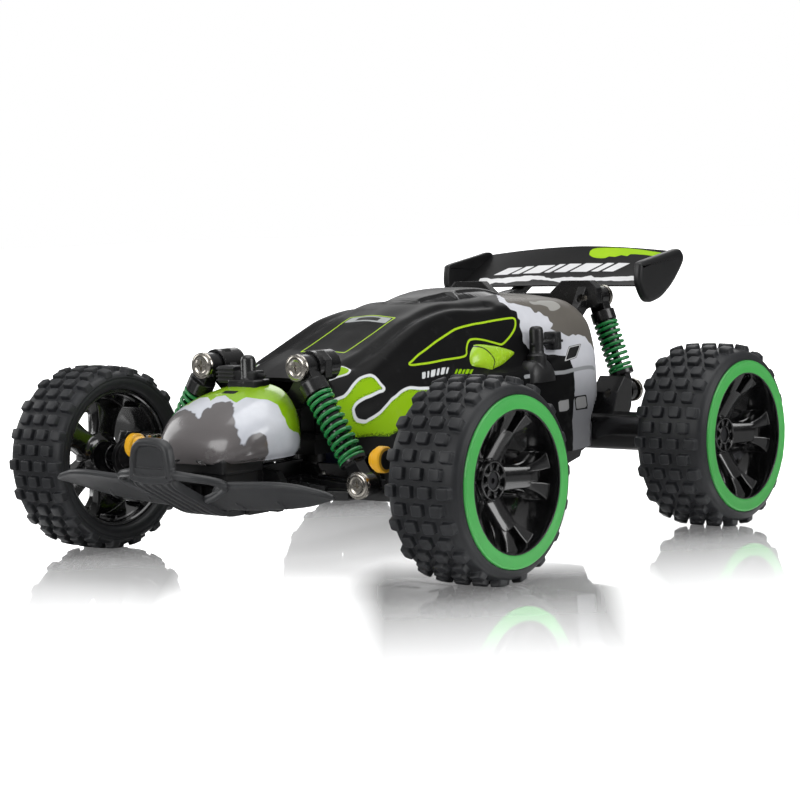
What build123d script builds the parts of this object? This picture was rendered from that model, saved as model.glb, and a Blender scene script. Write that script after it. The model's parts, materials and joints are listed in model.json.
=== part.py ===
from build123d import *
import math
import os
from types import SimpleNamespace

# Off-road toy buggy.  Millimetres, +Z up, front towards -Y, left side towards +X.
# The ground is z = 0 and every part is drawn with y = 0 half way between the axles,
# then moved by centre_shift so the outer box is centred on the origin.

# ---------------------------------------------------------------- driving dimensions
wheelbase = 147.7
axle_y_front = -wheelbase / 2
axle_y_rear = wheelbase / 2
wheel_radius = 35.0
wheel_width = 28.0
half_track_outer = 107.0
axle_z = wheel_radius
axle_radius = 2.0
running_gap = 0.05

bumper_front_y = -136.5
bumper_half_span = 65.6
wing_rear_y = 124.5
wing_half_span = 47.0
centre_shift = -(bumper_front_y + wing_rear_y) / 2

floor_bottom_z = 22.0
floor_top_z = 24.5
deck_bottom_z = 44.0
deck_top_z = 46.2
board_bottom_z = 50.0
board_top_z = 51.6
post_x = 23.98
deck_posts = [(x, y) for x in (-post_x, post_x) for y in (-34, 8)]

pin_radius = 1.5
arm_hinge_x = 14.0
arm_hinge_z = 30.0
kingpin_x = 62.0
kingpin_radius = 2.0
steer_y = axle_y_front + 10.0
link_z = 30.0
link_bottom_z = link_z - 1.4
link_top_z = link_z + 1.4

# Shocks: top and low are the (x, z) eye centres of the left one; lengths run down from the
# top eye.  The rear ones lean sideways while their axle swings fore and aft, so their eyes
# sit on balls.
front_shock = SimpleNamespace(
    y=-82.0, top=(22.7, 71.9), low=(48.5, 32.3), spring_start=11.0, spring_end=37.0,
    turns=8.0, body_end=27.0, rod_length=30.0, top_ball=0, low_ball=0)
rear_shock = SimpleNamespace(
    y=88.0, top=(30.8, 87.1), low=(44.0, 49.5), spring_start=10.5, spring_end=31.5,
    turns=7.5, body_end=21.5, rod_length=24.0, top_ball=2.6, low_ball=2.75)
spring_mean_radius = 4.25
spring_wire_radius = 0.55
shock_seat_radius = 4.9
front_screw_head_y = -84.8
rear_screw_head_y = 90.9

flank_clip_x = 39.0
flank_clip_z = 73.6
nose_clip_z = 70.5
nose_post_y = -86

# Rear gear train, seen in the y-z plane
axle_pivot_y = 36.0
axle_pivot_z = 30.0
gear_module = 0.8
gear_backlash = 0.16
drive_teeth = 30
idler_small_teeth = 12
idler_large_teeth = 26
pinion_teeth = 10
drive_to_idler_y = 14.8
idler_to_motor_y = 13.55
motor_radius = 12.0
motor_shaft_radius = 1.0


def mesh_rise(teeth_sum, run):
    # height between two meshing gear centres that lie `run` apart in y
    return math.sqrt((gear_module * teeth_sum / 2) ** 2 - run**2)


idler_y = axle_y_rear - drive_to_idler_y
idler_z = axle_z + mesh_rise(drive_teeth + idler_small_teeth, drive_to_idler_y)
motor_y = idler_y - idler_to_motor_y
motor_z = idler_z + mesh_rise(idler_large_teeth + pinion_teeth, idler_to_motor_y)

LOW = (Align.CENTER, Align.CENTER, Align.MIN)


# ---------------------------------------------------------------- helpers
def plane_x(x, y=0, z=0):
    # local x, y are global y, z
    return Plane(origin=(x, y, z), x_dir=(0, 1, 0), z_dir=(1, 0, 0))


def plane_y(y, x=0, z=0):
    # normal towards the rear
    return Plane(origin=(x, y, z), x_dir=(1, 0, 0), z_dir=(0, 1, 0))


def section_plane(y):
    # local x, y are global x, z; normal towards the front
    return Plane(origin=(0, y, 0), x_dir=(1, 0, 0), z_dir=(0, -1, 0))


def box(x0, x1, y0, y1, z0, z1):
    centre = Pos((x0 + x1) / 2, (y0 + y1) / 2, (z0 + z1) / 2)
    return centre * Box(x1 - x0, y1 - y0, z1 - z0)


def cyl_x(radius, x0, x1, y, z):
    return plane_x(x0, y, z) * Cylinder(radius, x1 - x0, align=LOW)


def cyl_y(radius, y0, y1, x, z):
    return plane_y(y0, x, z) * Cylinder(radius, y1 - y0, align=LOW)


def cyl_z(radius, z0, z1, x, y):
    return Pos(x, y, z0) * Cylinder(radius, z1 - z0, align=LOW)


def outline(points):
    # always drawn counter-clockwise so extrusions keep their direction
    following = list(points[1:]) + [points[0]]
    area = sum(a[0] * b[1] - b[0] * a[1] for a, b in zip(points, following))
    ordered = points if area > 0 else reversed(points)
    return Polygon(*ordered, align=None)


def prism_x(points, x0, x1):
    # points are (y, z)
    return extrude(plane_x(x0) * outline(points), amount=x1 - x0)


def prism_y(points, y0, y1):
    # points are (x, z)
    return extrude(section_plane(y1) * outline(points), amount=y1 - y0)


def prism_z(points, z0, z1):
    # points are (x, y)
    return extrude(Pos(0, 0, z0) * outline(points), amount=z1 - z0)


def side_span(side, inner, outer):
    # x range of something on the left (side = 1) or right (side = -1)
    return sorted((side * inner, side * outer))


def mir(shape):
    return mirror(shape, about=Plane.YZ)


def group(*shapes):
    return Compound(children=[shape.solid() for shape in shapes])


def both(shape):
    return group(shape, mir(shape))


def mirrored_outline(half):
    # adds the right half; points on the centre line are not doubled
    return list(half) + [(-x, v) for x, v in reversed(half) if abs(x) > 1e-9]


def section_loft(stations):
    # stations: (y, half outline of (x, z) from bottom edge to centre top)
    faces = []
    for y, half in stations:
        section = section_plane(y) * Polygon(*mirrored_outline(half), align=None)
        faces.append(section.face())
    return loft(faces, ruled=True)


def inner_stations(stations, wall, first_y, last_y, low_drops):
    # the cavity: moved in and down by the wall, but the lowest points drop by low_drops
    inner = []
    for y, half in stations:
        drops = low_drops + [wall] * (len(half) - len(low_drops))
        inner.append((y, [(max(x - wall, 0), z - drop) for (x, z), drop in zip(half, drops)]))
    inner[0] = (first_y, inner[0][1])
    inner[-1] = (last_y, inner[-1][1])
    return inner


def largest_solid(shape):
    return shape.solids().sort_by(SortBy.VOLUME)[-1]


def pan_screw(x, z, head_y, tip_y):
    # shoulder screw along y with a wide pan head and a cross recess
    outward = -1 if head_y < tip_y else 1
    screw = cyl_y(pin_radius, *sorted((head_y, tip_y)), x, z)
    screw += cyl_y(4.65, *sorted((head_y, head_y + 1.6 * outward)), x, z)
    recess = sorted((head_y + 0.8 * outward, head_y + 1.8 * outward))
    screw -= box(x - 1.9, x + 1.9, *recess, z - 0.45, z + 0.45)
    screw -= box(x - 0.45, x + 0.45, *recess, z - 1.9, z + 1.9)
    return screw


def ball_screw(side, eye, tip_y, ball_radius):
    # rear shock screw carrying the ball its eye turns on
    x, z = side * eye[0], eye[1]
    screw = pan_screw(x, z, rear_screw_head_y, tip_y)
    return screw + Pos(x, rear_shock.y, z) * Sphere(ball_radius)


# ---------------------------------------------------------------- wheels
# Drawn with the axis along local z and the inner face at 0; profiles are (radius, width).
bead_radius = 26.0
ring_outer_radius = 28.65
ring_inner_radius = 23.8
hub_radius = 6.75


def turned(profile):
    return revolve(Plane.XZ * Polygon(*profile, align=None), axis=Axis.Z)


def tyre():
    return turned([
        (bead_radius, 1.5), (27.5, 0.6), (31.5, 0.5), (33.6, 1.8), (wheel_radius, 4.6),
        (wheel_radius, 23.2), (33.8, 25.6), (31.0, 27.0), (28.7, 27.2), (28.7, 26.0),
        (bead_radius, 26.0),
    ])


def bead_ring():
    return turned([
        (ring_inner_radius, 26.0), (ring_outer_radius, 26.0), (ring_outer_radius, 27.7),
        (28.3, wheel_width), (24.2, wheel_width), (ring_inner_radius, 27.6),
    ])


def rim(bore):
    body = turned([
        (bore, 3.0), (5.4, 3.0), (6.0, 10.0), (12.0, 12.6), (20.0, 13.6), (23.0, 12.0),
        (23.8, 1.5), (bead_radius, 1.5), (bead_radius, 26.0), (24.3, 26.0), (23.2, 18.6),
        (20.0, 17.4), (12.0, 16.6), (hub_radius, 17.2), (hub_radius, 18.0), (3.3, 18.0),
        (3.3, 15.0), (bore, 15.0),
    ])
    window = Polygon(
        (9.2, -0.8), (10.4, -3.2), (20.6, -9.2), (22.0, -7.4),
        (22.0, 7.4), (20.6, 9.2), (10.4, 3.2), (9.2, 0.8), align=None)
    slot = Polygon((17.0, -0.7), (22.6, -1.5), (22.6, 1.5), (17.0, 0.7), align=None)
    for i in range(5):
        angle = 72 * i + 36
        body -= Rot(0, 0, angle) * (Pos(0, 0, 8) * extrude(window, amount=14))
        # groove in each spoke, between the windows
        body -= Rot(0, 0, angle + 36) * (Pos(0, 0, 15.2) * extrude(slot, amount=5))
    for i in range(6):
        body -= Rot(0, 0, 60 * i) * (Pos(5.0, 0, 16.0) * Cylinder(0.7, 3, align=LOW))
    return body


def at_wheel(shape, y):
    # onto the left wheel place of the axle at y
    return plane_x(half_track_outer - wheel_width, y, axle_z) * shape


def wheel_nut():
    nut = plane_x(94.0, axle_y_rear, axle_z) * extrude(RegularPolygon(3.0, 6), amount=2.4)
    return nut - cyl_x(axle_radius, 90, 95.0, axle_y_rear, axle_z)


# ---------------------------------------------------------------- chassis
# left halves, (x, y) from front to rear
pan_half = [
    (0, -101), (12, -101), (12.5, -92), (9.6, -88.2), (9.6, -58), (14, -52),
    (24, -46), (33, -38), (33, 22), (29, 27), (0, 27),
]
deck_half = [(0, -40), (20, -40), (27.6, -34), (27.6, 14), (22, 18), (0, 18)]
# left lugs: (x, z) for the arm hinge, (y, z) for the axle pivot
hinge_lug = [(5, 22), (16, 22), (18, 26), (18, 33), (16, 36), (5, 38)]
pivot_lug = [
    (16, 22), (38, 24.5), (40.2, 28), (40.2, 32), (38, 34.6), (34, 34.6), (24, 30), (16, 30),
]


def chassis_tub():
    tub = prism_z(mirrored_outline(pan_half), floor_bottom_z, floor_top_z)
    for side in (1, -1):
        tub += box(*side_span(side, 30.8, 33.0), -38, 22, floor_top_z, 34)
        tub += box(*side_span(side, 7.6, 9.6), -100, -70, floor_top_z, 38)
        for y0, y1 in ((-91.0, -88.3), (-71.4, -69.0)):
            lug = prism_y(hinge_lug, y0, y1)
            tub += lug if side > 0 else mir(lug)
        lug = prism_x(pivot_lug, 23.4, 27.0)
        tub += lug if side > 0 else mir(lug)
    # cross walls of the front box
    tub += box(-7.6, 7.6, -100, -97.5, floor_top_z, 38)
    tub += box(-7.6, 7.6, -91, -88.3, floor_top_z, 38)
    tub += box(-7.6, 7.6, -77.5, -73.6, floor_top_z, 36)
    for x, y in deck_posts:
        tub += cyl_z(3.2, floor_top_z, deck_bottom_z, x, y)
    # front and rear walls of the battery bay
    tub += box(-33, 33, -38.0, -36.0, floor_top_z, 32)
    tub += box(-29, 29, 22.4, 24.4, floor_top_z, 32)
    # hinge pin bores
    for side in (1, -1):
        tub -= cyl_y(pin_radius, -92, -68, side * arm_hinge_x, arm_hinge_z)
    tub -= cyl_x(pin_radius, -30, 30, axle_pivot_y, axle_pivot_z)
    # battery hatch and switch slot
    tub -= box(-19, 19, -30, 20, 20, 25)
    tub -= box(-1.8, 1.8, -52, -44, 20, 25)
    for x, y in deck_posts:
        tub -= cyl_z(1.3, 34, 45, x, y)
    return tub


def battery_cover():
    cover = box(-18.8, 18.8, -29.8, 19.8, 22.3, floor_top_z)
    cover += box(-4, 4, 16, 19.8, floor_top_z, 26.0)
    cover -= box(-14, -4, 5, 12, 22, 22.9)
    return cover - box(4, 14, 5, 12, 22, 22.9)


def chassis_deck():
    deck = prism_z(mirrored_outline(deck_half), deck_bottom_z, deck_top_z)
    # tongue and cradle round the servo
    deck += box(-10, 10, -63, -40, deck_bottom_z, deck_top_z)
    deck += box(-10, -7.6, -60, -36, deck_top_z, 50) + box(7.6, 10, -60, -36, deck_top_z, 50)
    deck -= box(-6.3, 6.3, -59.4, -36.6, 43, 51)
    for x in (-13, 13):
        for y in (-20, 8):
            deck += cyl_z(2.2, deck_top_z, board_bottom_z, x, y)
    for x, y in deck_posts:
        deck -= cyl_z(1.6, 43, 47, x, y)
    return deck


def deck_screw(x, y):
    screw = cyl_z(1.3, 36, deck_top_z, x, y) + cyl_z(2.9, deck_top_z, 47.6, x, y)
    return screw - box(x - 2, x + 2, y - 0.4, y + 0.4, 47.0, 48)


def battery_pack():
    # two cells side by side, with the block that joins them and a plug at the front
    cell_radius = 8.6
    cell_x = 8.8
    cell_z = 33.4
    front_y, rear_y = -28.5, 15.4
    pack = cyl_y(cell_radius, front_y, rear_y, cell_x, cell_z)
    pack += cyl_y(cell_radius, front_y, rear_y, -cell_x, cell_z)
    pack += box(-cell_x, cell_x, front_y, rear_y, 24.9, 41.9)
    return pack + box(-4, 4, -31.5, front_y, 30, 36)


def control_board():
    board = box(-16, 16, -24, 12, board_bottom_z, board_top_z)
    board += box(-6, 6, -12, 0, board_top_z, 53.4)
    board += cyl_z(3.2, board_top_z, 61, 10, 6) + cyl_z(3.2, board_top_z, 61, 10, -18)
    board += box(-14, -8, -22, -16, board_top_z, 58)
    board += box(-14.5, -9, 4, 10, board_top_z, 56)
    # thin upright rod
    return board + cyl_z(0.9, board_top_z, 72, -12, 0)


def power_switch():
    return box(-1.4, 1.4, -50.4, -48.0, 22.4, 27.4) + box(-2.6, 2.6, -51.0, -47.4, 24.6, 26.6)


def hinge_pins():
    pins = [
        cyl_y(pin_radius, -91.0, -69.0, side * arm_hinge_x, arm_hinge_z) for side in (1, -1)
    ]
    return group(*pins, cyl_x(pin_radius, -27.0, 27.0, axle_pivot_y, axle_pivot_z))


# ---------------------------------------------------------------- front bumper
# A skid tongue climbs from the floor to an upright shield, with a swept blade each side.
# (y, z)
tongue_outline = [
    (-135.6, 38.6), (-133.4, 35.6), (-113.0, 24.4), (-101.0, 22.0), (-101.0, 24.8),
    (-112.2, 27.2), (-131.6, 38.4), (-132.6, 41.0), (-135.6, 41.0),
]
tongue_groove = [
    (-134.4, 36.0), (-133.4, 35.4), (-113.0, 24.2), (-110.0, 23.4), (-110.0, 24.4),
    (-113.0, 25.0), (-133.0, 36.6),
]
# left halves, (x, z)
shield_half = [(9.8, 39.0), (10.7, 45.0), (9.4, 49.0), (5.0, 51.4)]
shield_recess_half = [(6.6, 41.0), (7.2, 45.0), (6.2, 47.8), (3.6, 49.0)]
# x, front (y, z), rear (y, z), thickness
blade_stations = [
    (9.0, (-119.0, 30.6), (-112.8, 25.3), 2.5),
    (14.0, (-120.6, 32.2), (-112.8, 25.4), 2.5),
    (20.0, (-126.4, 37.6), (-112.8, 25.5), 2.5),
    (32.0, (-126.3, 37.9), (-112.9, 26.2), 2.5),
    (45.0, (-125.6, 38.0), (-113.2, 27.5), 2.5),
    (56.0, (-122.9, 37.2), (-115.0, 30.2), 2.4),
    (bumper_half_span, (-119.4, 35.4), (-117.2, 33.4), 2.0),
]
# (x, y)
bar_outline = [
    (9.2, -135.4), (16.5, -134.4), (22.0, -131.4), (25.2, -127.4), (25.2, -124.4),
    (21.6, -124.6), (19.0, -129.0), (14.6, -131.4), (9.2, -132.2),
]


def blade_section(x, front, rear, thickness):
    # front and rear are on the underside; the plate lies above and behind that line
    dy, dz = rear[0] - front[0], rear[1] - front[1]
    length = math.hypot(dy, dz)
    step_y, step_z = -dz / length * thickness, dy / length * thickness
    upper_rear = (rear[0] + step_y, rear[1] + step_z)
    upper_front = (front[0] + step_y, front[1] + step_z)
    return (plane_x(x) * outline([front, rear, upper_rear, upper_front])).face()


def front_bumper():
    tongue = prism_x(tongue_outline, -9.8, 9.8)
    for x in (-6.6, -2.2, 2.2, 6.6):
        tongue -= prism_x(tongue_groove, x - 0.7, x + 0.7)
    shield = prism_y(mirrored_outline(shield_half), bumper_front_y, -133.2)
    shield -= prism_y(mirrored_outline(shield_recess_half), -137.0, -135.2)
    bumper = tongue + shield
    blade = loft([blade_section(*station) for station in blade_stations], ruled=True)
    # curved bar: the plan outline cut to a tilted slab
    bar = prism_z(bar_outline, 20, 60)
    bar &= Pos(0, -130, 38.6) * Rot(-15, 0, 0) * Box(80, 40, 2.4)
    for piece in (blade, bar):
        bumper += piece
        bumper += mir(piece)
    # ribbed block at the front of the tub
    bumper += box(-12, 12, -111.0, -101, 24.0, 40.4)
    for k in range(-2, 3):
        bumper += box(k * 4.4 - 0.5, k * 4.4 + 0.5, -112.0, -111, 27, 40.4)
    return bumper


# ---------------------------------------------------------------- nose cover
# y, then the left half section (x, z) from bottom edge to centre top
nose_stations = [
    (-116.8, [(9, 42.5), (12, 43.5), (12.5, 45.0), (10, 47.0), (6, 48.0), (0, 48.4)]),
    (-112.0, [(15, 41.5), (18.6, 43.5), (18.4, 48.5), (14.5, 53.0), (8, 55.0), (0, 55.5)]),
    (-104.0, [(18, 41.3), (22.4, 44.5), (21.8, 52.0), (17, 58.0), (9, 60.6), (0, 61.2)]),
    (-94.0, [(19, 41.5), (23.2, 45.5), (22.2, 54.0), (17, 60.8), (9, 63.8), (0, 64.4)]),
    (-86.0, [(18.6, 42.5), (21.6, 46.0), (20.6, 55.0), (15.5, 62.0), (9, 65.0), (0, 65.8)]),
    (-79.5, [(15, 46.0), (17.2, 49.0), (16.0, 56.5), (12.5, 62.0), (8, 65.0), (0, 66.0)]),
]


def nose_cover():
    nose = section_loft(nose_stations)
    nose -= section_loft(inner_stations(nose_stations, 1.8, -115.0, -78.0, [5.8]))
    # clip post, and the inner post that stands on the shock tower
    nose += cyl_z(2.6, 62.0, 73.2, 0, nose_post_y) + Pos(0, nose_post_y, 73.2) * Sphere(2.6)
    nose += cyl_z(3.2, 50.0, 63.0, 0, -94)
    nose -= cyl_y(0.8, -90, -82, 0, nose_clip_z)
    return largest_solid(nose)


# ---------------------------------------------------------------- shock towers
# left half, (x, z)
front_tower_half = [
    (7.5, 38.2), (12, 42), (13, 56), (19, 60), (28, 68), (28.5, 74), (25, 77.2),
    (20, 77.2), (16, 70), (10, 62),
]
# (y, z)
rail_outline = [
    (4, 34.2), (20, 34.2), (24, 46), (30, 60), (58, 70.5), (70, 75.5), (78.6, 82.5),
    (82.2, 83.5), (82.2, 91.5), (78.6, 91.5), (74, 85), (66, 79.2), (28, 71), (14, 52),
]
# left half, (x, z)
cross_plate_half = [
    (22, 79), (26, 83.2), (35, 83.2), (37, 85), (37, 91), (34, 94), (20, 94), (14, 89),
]


def front_shock_tower():
    x, z = front_shock.top
    tower = prism_y(mirrored_outline(front_tower_half), -77.0, -73.6)
    tower += box(-7.4, 7.4, -97.2, -73.6, 38.2, 40.2) + cyl_z(3.2, 40.2, 49.8, 0, -94)
    for side in (1, -1):
        tower += cyl_y(5.4, -79.2, -68.6, side * x, z)
        tower -= cyl_y(pin_radius, -80, -60, side * x, z)
    return tower + box(-7.5, 7.5, -73.6, -72.6, 50, 60)


def rear_shock_tower():
    # two side rails and a cross plate
    x, z = rear_shock.top
    rail = prism_x(rail_outline, 28.2, 32.0)
    tower = rail + mir(rail) + prism_y(mirrored_outline(cross_plate_half), 78.6, 82.2)
    for side in (1, -1):
        tower += cyl_y(4.2, 82.2, 85.2, side * x, z)
        tower -= cyl_y(pin_radius, 70, 86, side * x, z)
    return tower + box(-30, 30, 34, 40, 71.0, 74.0)


def tower_screws():
    x, z = front_shock.top
    front = [pan_screw(side * x, z, front_screw_head_y, -68.6) for side in (1, -1)]
    rear = [ball_screw(side, rear_shock.top, 78.6, rear_shock.top_ball) for side in (1, -1)]
    return group(*front, *rear)


# ---------------------------------------------------------------- body shell
# y, then the left half section (x, z) from bottom edge to centre top
shell_stations = [
    (-72.4, [(30.0, 40.0), (32.0, 46.0), (31.0, 54.0), (25.0, 61.0),
             (17.5, 64.6), (9.0, 66.4), (0, 67.0)]),
    (-60.0, [(34.0, 37.0), (36.0, 46.0), (35.0, 55.0), (28.0, 66.0),
             (20.0, 69.4), (10.5, 70.2), (0, 71.0)]),
    (-46.0, [(35.5, 35.0), (37.5, 46.0), (36.5, 57.0), (30.0, 69.0),
             (22.0, 74.0), (10.8, 75.0), (0, 76.2)]),
    (-30.0, [(36.0, 33.0), (38.0, 46.0), (37.0, 58.0), (31.0, 72.0),
             (24.0, 79.0), (11.0, 80.8), (0, 82.0)]),
    (-16.0, [(36.0, 31.5), (38.0, 46.0), (37.0, 60.0), (31.0, 75.0),
             (24.0, 83.6), (11.0, 86.0), (0, 87.4)]),
    (5.0, [(36.5, 29.5), (38.5, 45.0), (38.0, 62.0), (31.5, 77.0),
           (24.0, 87.0), (12.0, 90.2), (0, 91.4)]),
    (30.0, [(37.5, 28.5), (39.5, 45.0), (39.0, 62.0), (33.0, 78.0),
            (25.0, 87.0), (12.0, 90.2), (0, 91.4)]),
    (50.0, [(39.5, 28.5), (42.0, 45.0), (41.5, 62.0), (38.4, 76.0),
            (28.8, 86.0), (14.0, 89.2), (0, 90.0)]),
    (66.0, [(41.0, 29.5), (43.3, 45.0), (42.6, 66.0), (40.0, 79.0),
            (31.0, 86.4), (15.0, 88.6), (0, 89.3)]),
]
# raised roof panel, (y, z)
roof_top = [(2, 88.5), (10, 93.4), (40, 93.4), (52, 89.0)]
roof_cavity = [(0, 84), (0, 92.2), (12, 91.9), (40, 91.9), (54, 87.0)]
roof_underside = [(0, 80), (60, 80), (60, 89.2), (0, 89.2)]


def body_shell():
    shell = section_loft(shell_stations)
    shell -= section_loft(inner_stations(shell_stations, 1.6, -73.4, 67.0, [6, 0]))
    roof = prism_x(roof_top, -15, 15) - prism_x(roof_cavity, -13.2, 13.2)
    shell += roof - prism_x(roof_underside, -20, 20)
    for side in (1, -1):
        # clip post on each flank
        post = cyl_z(2.1, 60.5, 76.2, side * flank_clip_x, 35.0)
        shell += post - cyl_y(0.8, 31, 39, side * flank_clip_x, flank_clip_z)
    # room for the axle tubes, at rest and with the axle swung up
    for side in (1, -1):
        x0, x1 = side_span(side, 34.0, 50.0)
        shell -= cyl_x(8.8, x0, x1, axle_y_rear, axle_z) + cyl_x(8.8, x0, x1, 72.8, 40.2)
    return largest_solid(shell)


def body_clips():
    # they hold the shell and the nose cover
    clips = []
    for side in (1, -1):
        tab = box(*side_span(side, 36.6, 42.6), 29.6, 31.2, 72.2, 75.2)
        clips.append(tab + cyl_y(0.7, 31.2, 41.0, side * flank_clip_x, flank_clip_z))
    tab = box(-5.6, 5.6, -91.8, -90.0, 68.6, 72.4)
    clips.append(tab + cyl_y(0.7, -90.0, -80.5, 0, nose_clip_z))
    return group(*clips)


# ---------------------------------------------------------------- rear wing, all (y, z)
wing_section = [
    (95.0, 90.9), (96.5, 90.2), (110, 96.6), (122.6, 104.0), (122.2, 105.4), (108, 99.4),
    (95.4, 92.6),
]
end_plate_outline = [
    (92.0, 100.8), (120.5, 104.8), (wing_rear_y, 101.0), (115.0, 91.0), (103.0, 84.8),
    (97.0, 84.6), (90.0, 93.0),
]
strut_outline = [
    (82.2, 83.0), (88.0, 82.0), (106.5, 92.0), (106.5, 94.70), (97.2, 90.26),
    (96.9, 90.0), (92.0, 89.6), (82.2, 88.4),
]


def wing_blade():
    return prism_x(wing_section, -wing_half_span, wing_half_span)


def rear_wing():
    plate = prism_x(end_plate_outline, wing_half_span, wing_half_span + 3.0)
    plate = fillet(plate.edges().filter_by(Axis.X), 1.6)
    return wing_blade() + plate + mir(plate)


def wing_mount():
    mount = prism_x(strut_outline, 12.6, 18.4) + prism_x(strut_outline, -18.4, -12.6)
    mount += box(-18.4, 18.4, 82.2, 84.8, 83.0, 88.4)
    # the struts are cut to seat the wing
    return mount - wing_blade()


# ---------------------------------------------------------------- steering
rack_ball_y = -64.2


def steering_servo():
    servo = box(-6.2, 6.2, -59.3, -36.7, 38.0, 58.0)
    servo += cyl_z(5.0, 35.0, 38.0, 0, -54) + cyl_z(2.2, 31.2, 35.0, 0, -54)
    return servo - box(-7, -6.0, -54, -42, 48, 55)


def servo_arm():
    arm = cyl_z(4.6, 28.6, 31.2, 0, -54)
    arm += prism_z([(-4.4, -54), (-2.6, -66.2), (2.6, -66.2), (4.4, -54)], 28.6, 31.2)
    return arm + cyl_z(1.5, 25.0, 28.6, 0, -64)


def steering_rack():
    rack = box(-19, 19, -66.5, -61.5, 24.6, 27.0) + box(-4.5, 4.5, -68.0, -60.0, 24.6, 27.0)
    # slot for the servo arm pin
    rack -= box(-1.65, 1.65, -66.6, -61.2, 24, 28)
    for side in (1, -1):
        x = side * arm_hinge_x
        rack += cyl_z(1.0, 27.0, 29.0, x, rack_ball_y) + Pos(x, rack_ball_y, link_z) * Sphere(2.0)
    return rack


def steering_link():
    z0, z1 = link_bottom_z, link_top_z
    link = box(arm_hinge_x + 2.6, kingpin_x - 1.8, -65.6, -62.2, z0, z1)
    link += cyl_z(3.5, z0, z1, kingpin_x, steer_y)
    link += cyl_z(3.8, z0, z1, arm_hinge_x, steer_y)
    link -= cyl_z(1.55, 28, 32, kingpin_x, steer_y)
    return link - cyl_z(2.65, 28, 32, arm_hinge_x, steer_y)


def knuckle():
    x, y = kingpin_x, axle_y_front
    body = cyl_z(5.4, 30.0, 43.0, x, y) + cyl_x(5.2, x - 7.5, 77.0, y, 36.0)
    # steering lever towards the rear, with its pin
    lever_y = steer_y + 2.6
    lever = [(x - 3.4, y), (x - 3.0, lever_y), (x + 3.0, lever_y), (x + 5, y)]
    body += prism_z(lever, 32.0, 35.0)
    body += cyl_z(1.5, 28.2, 32.0, x, steer_y)
    body += cyl_x(7.0, 75.0, 77.0, y, axle_z)
    body -= cyl_z(kingpin_radius + running_gap, 20, 50, x, y)
    return body - cyl_x(axle_radius, 66.0, 80.0, y, axle_z)


def stub_axle():
    stub = cyl_x(axle_radius, 66.0, 94.2, axle_y_front, axle_z)
    stub += cyl_x(3.0, 94.2, 96.6, axle_y_front, axle_z)
    return stub - cyl_x(1.0, 95.6, 97.0, axle_y_front, axle_z)


# ---------------------------------------------------------------- front swing arms
# (x, y)
arm_outline = [
    (arm_hinge_x, -87.5), (34, -85.5), (52, -79.6), (kingpin_x, -79.0),
    (kingpin_x, -68.9), (46, -70.6), (arm_hinge_x, -72.2),
]
# front face y, outer end (x, z)
arm_ribs = [
    (-86.6, [(34, 31.4), (34, 29.4)]),
    (-79.2, [(42, 31.4), (52, 29.4)]),
    (-73.4, [(42, 31.4), (52, 29.4)]),
]
# (x, z)
shock_bracket = [(43, 29.2), (43.4, 33.2), (46.0, 36.4), (50.2, 36.4), (51.4, 33.0), (51.4, 29.2)]


def front_arm():
    arm = cyl_y(3.6, -88.1, -71.6, arm_hinge_x, arm_hinge_z)
    arm += prism_z(arm_outline, 26.4, 29.6)
    arm += cyl_z(5.2, 26.4, 29.6, kingpin_x, axle_y_front)
    rib_x = arm_hinge_x + 2
    for y, outer_end in arm_ribs:
        arm += prism_y([(rib_x, 29.4), (rib_x, 33.0)] + outer_end, y, y + 1.6)
    arm += prism_y(shock_bracket, -79.2, -76.8)
    arm -= cyl_y(pin_radius + running_gap, -90, -70, arm_hinge_x, arm_hinge_z)
    arm -= cyl_y(pin_radius, -90, -70, *front_shock.low)
    arm -= cyl_z(kingpin_radius, 20, 32, kingpin_x, axle_y_front)
    # room for the shock eye in front of the bracket
    return arm - box(41.5, 56, -90, -79.3, 26.0, 60)


def kingpin():
    x, y = kingpin_x, axle_y_front
    pin = cyl_z(kingpin_radius, 26.4, 43.2, x, y) + cyl_z(3.6, 43.2, 44.6, x, y)
    return pin - box(x - 2.6, x + 2.6, y - 0.5, y + 0.5, 44.0, 45.0)


# ---------------------------------------------------------------- shocks
# Local frame: top eye at the origin, axis along local +z, pivot pins along local y.
def eye_cylinder(radius, length, z=0):
    return plane_y(-length / 2, 0, z) * Cylinder(radius, length, align=LOW)


def seg(radius, z0, z1):
    return cyl_z(radius, z0, z1, 0, 0)


def shock_body(shock):
    start, end = shock.spring_start, shock.body_end
    body = eye_cylinder(4.4, 4.8)
    body += Pos(0, 0, 2.0) * Box(6.4, 4.8, 6.0, align=LOW)
    body += seg(shock_seat_radius, 6.4, start)
    body += seg(3.4, start - 0.5, end)
    body -= seg(1.95, 7.4, end + 1)
    body -= eye_cylinder(2.0, 8)
    if shock.top_ball:
        body -= Sphere(shock.top_ball + running_gap)
    return body


def shock_rod(shock, span):
    seat = shock.spring_end
    width = 3.4 if shock.low_ball else 4.8
    rod = eye_cylinder(4.0, width, span)
    rod += Pos(0, 0, seat + 1.6) * Box(5.4, width, span - seat - 1.6, align=LOW)
    rod += seg(shock_seat_radius, seat, seat + 1.8)
    rod += seg(1.5, span - shock.rod_length, seat + 0.5)
    rod -= eye_cylinder(2.35 if shock.low_ball else 2.0, 8, span)
    if shock.low_ball:
        rod -= Pos(0, 0, span) * Sphere(shock.low_ball + running_gap)
    return rod


def shock_spring(shock):
    # coil between the two seats, 0.05 clear of each
    height = shock.spring_end - shock.spring_start - 2 * spring_wire_radius - 0.1
    path = Helix(pitch=height / shock.turns, height=height, radius=spring_mean_radius)
    wire = Plane(origin=path @ 0, z_dir=path % 0) * Circle(spring_wire_radius)
    return Pos(0, 0, shock.spring_start + spring_wire_radius + 0.05) * sweep(wire, path=path)


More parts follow.
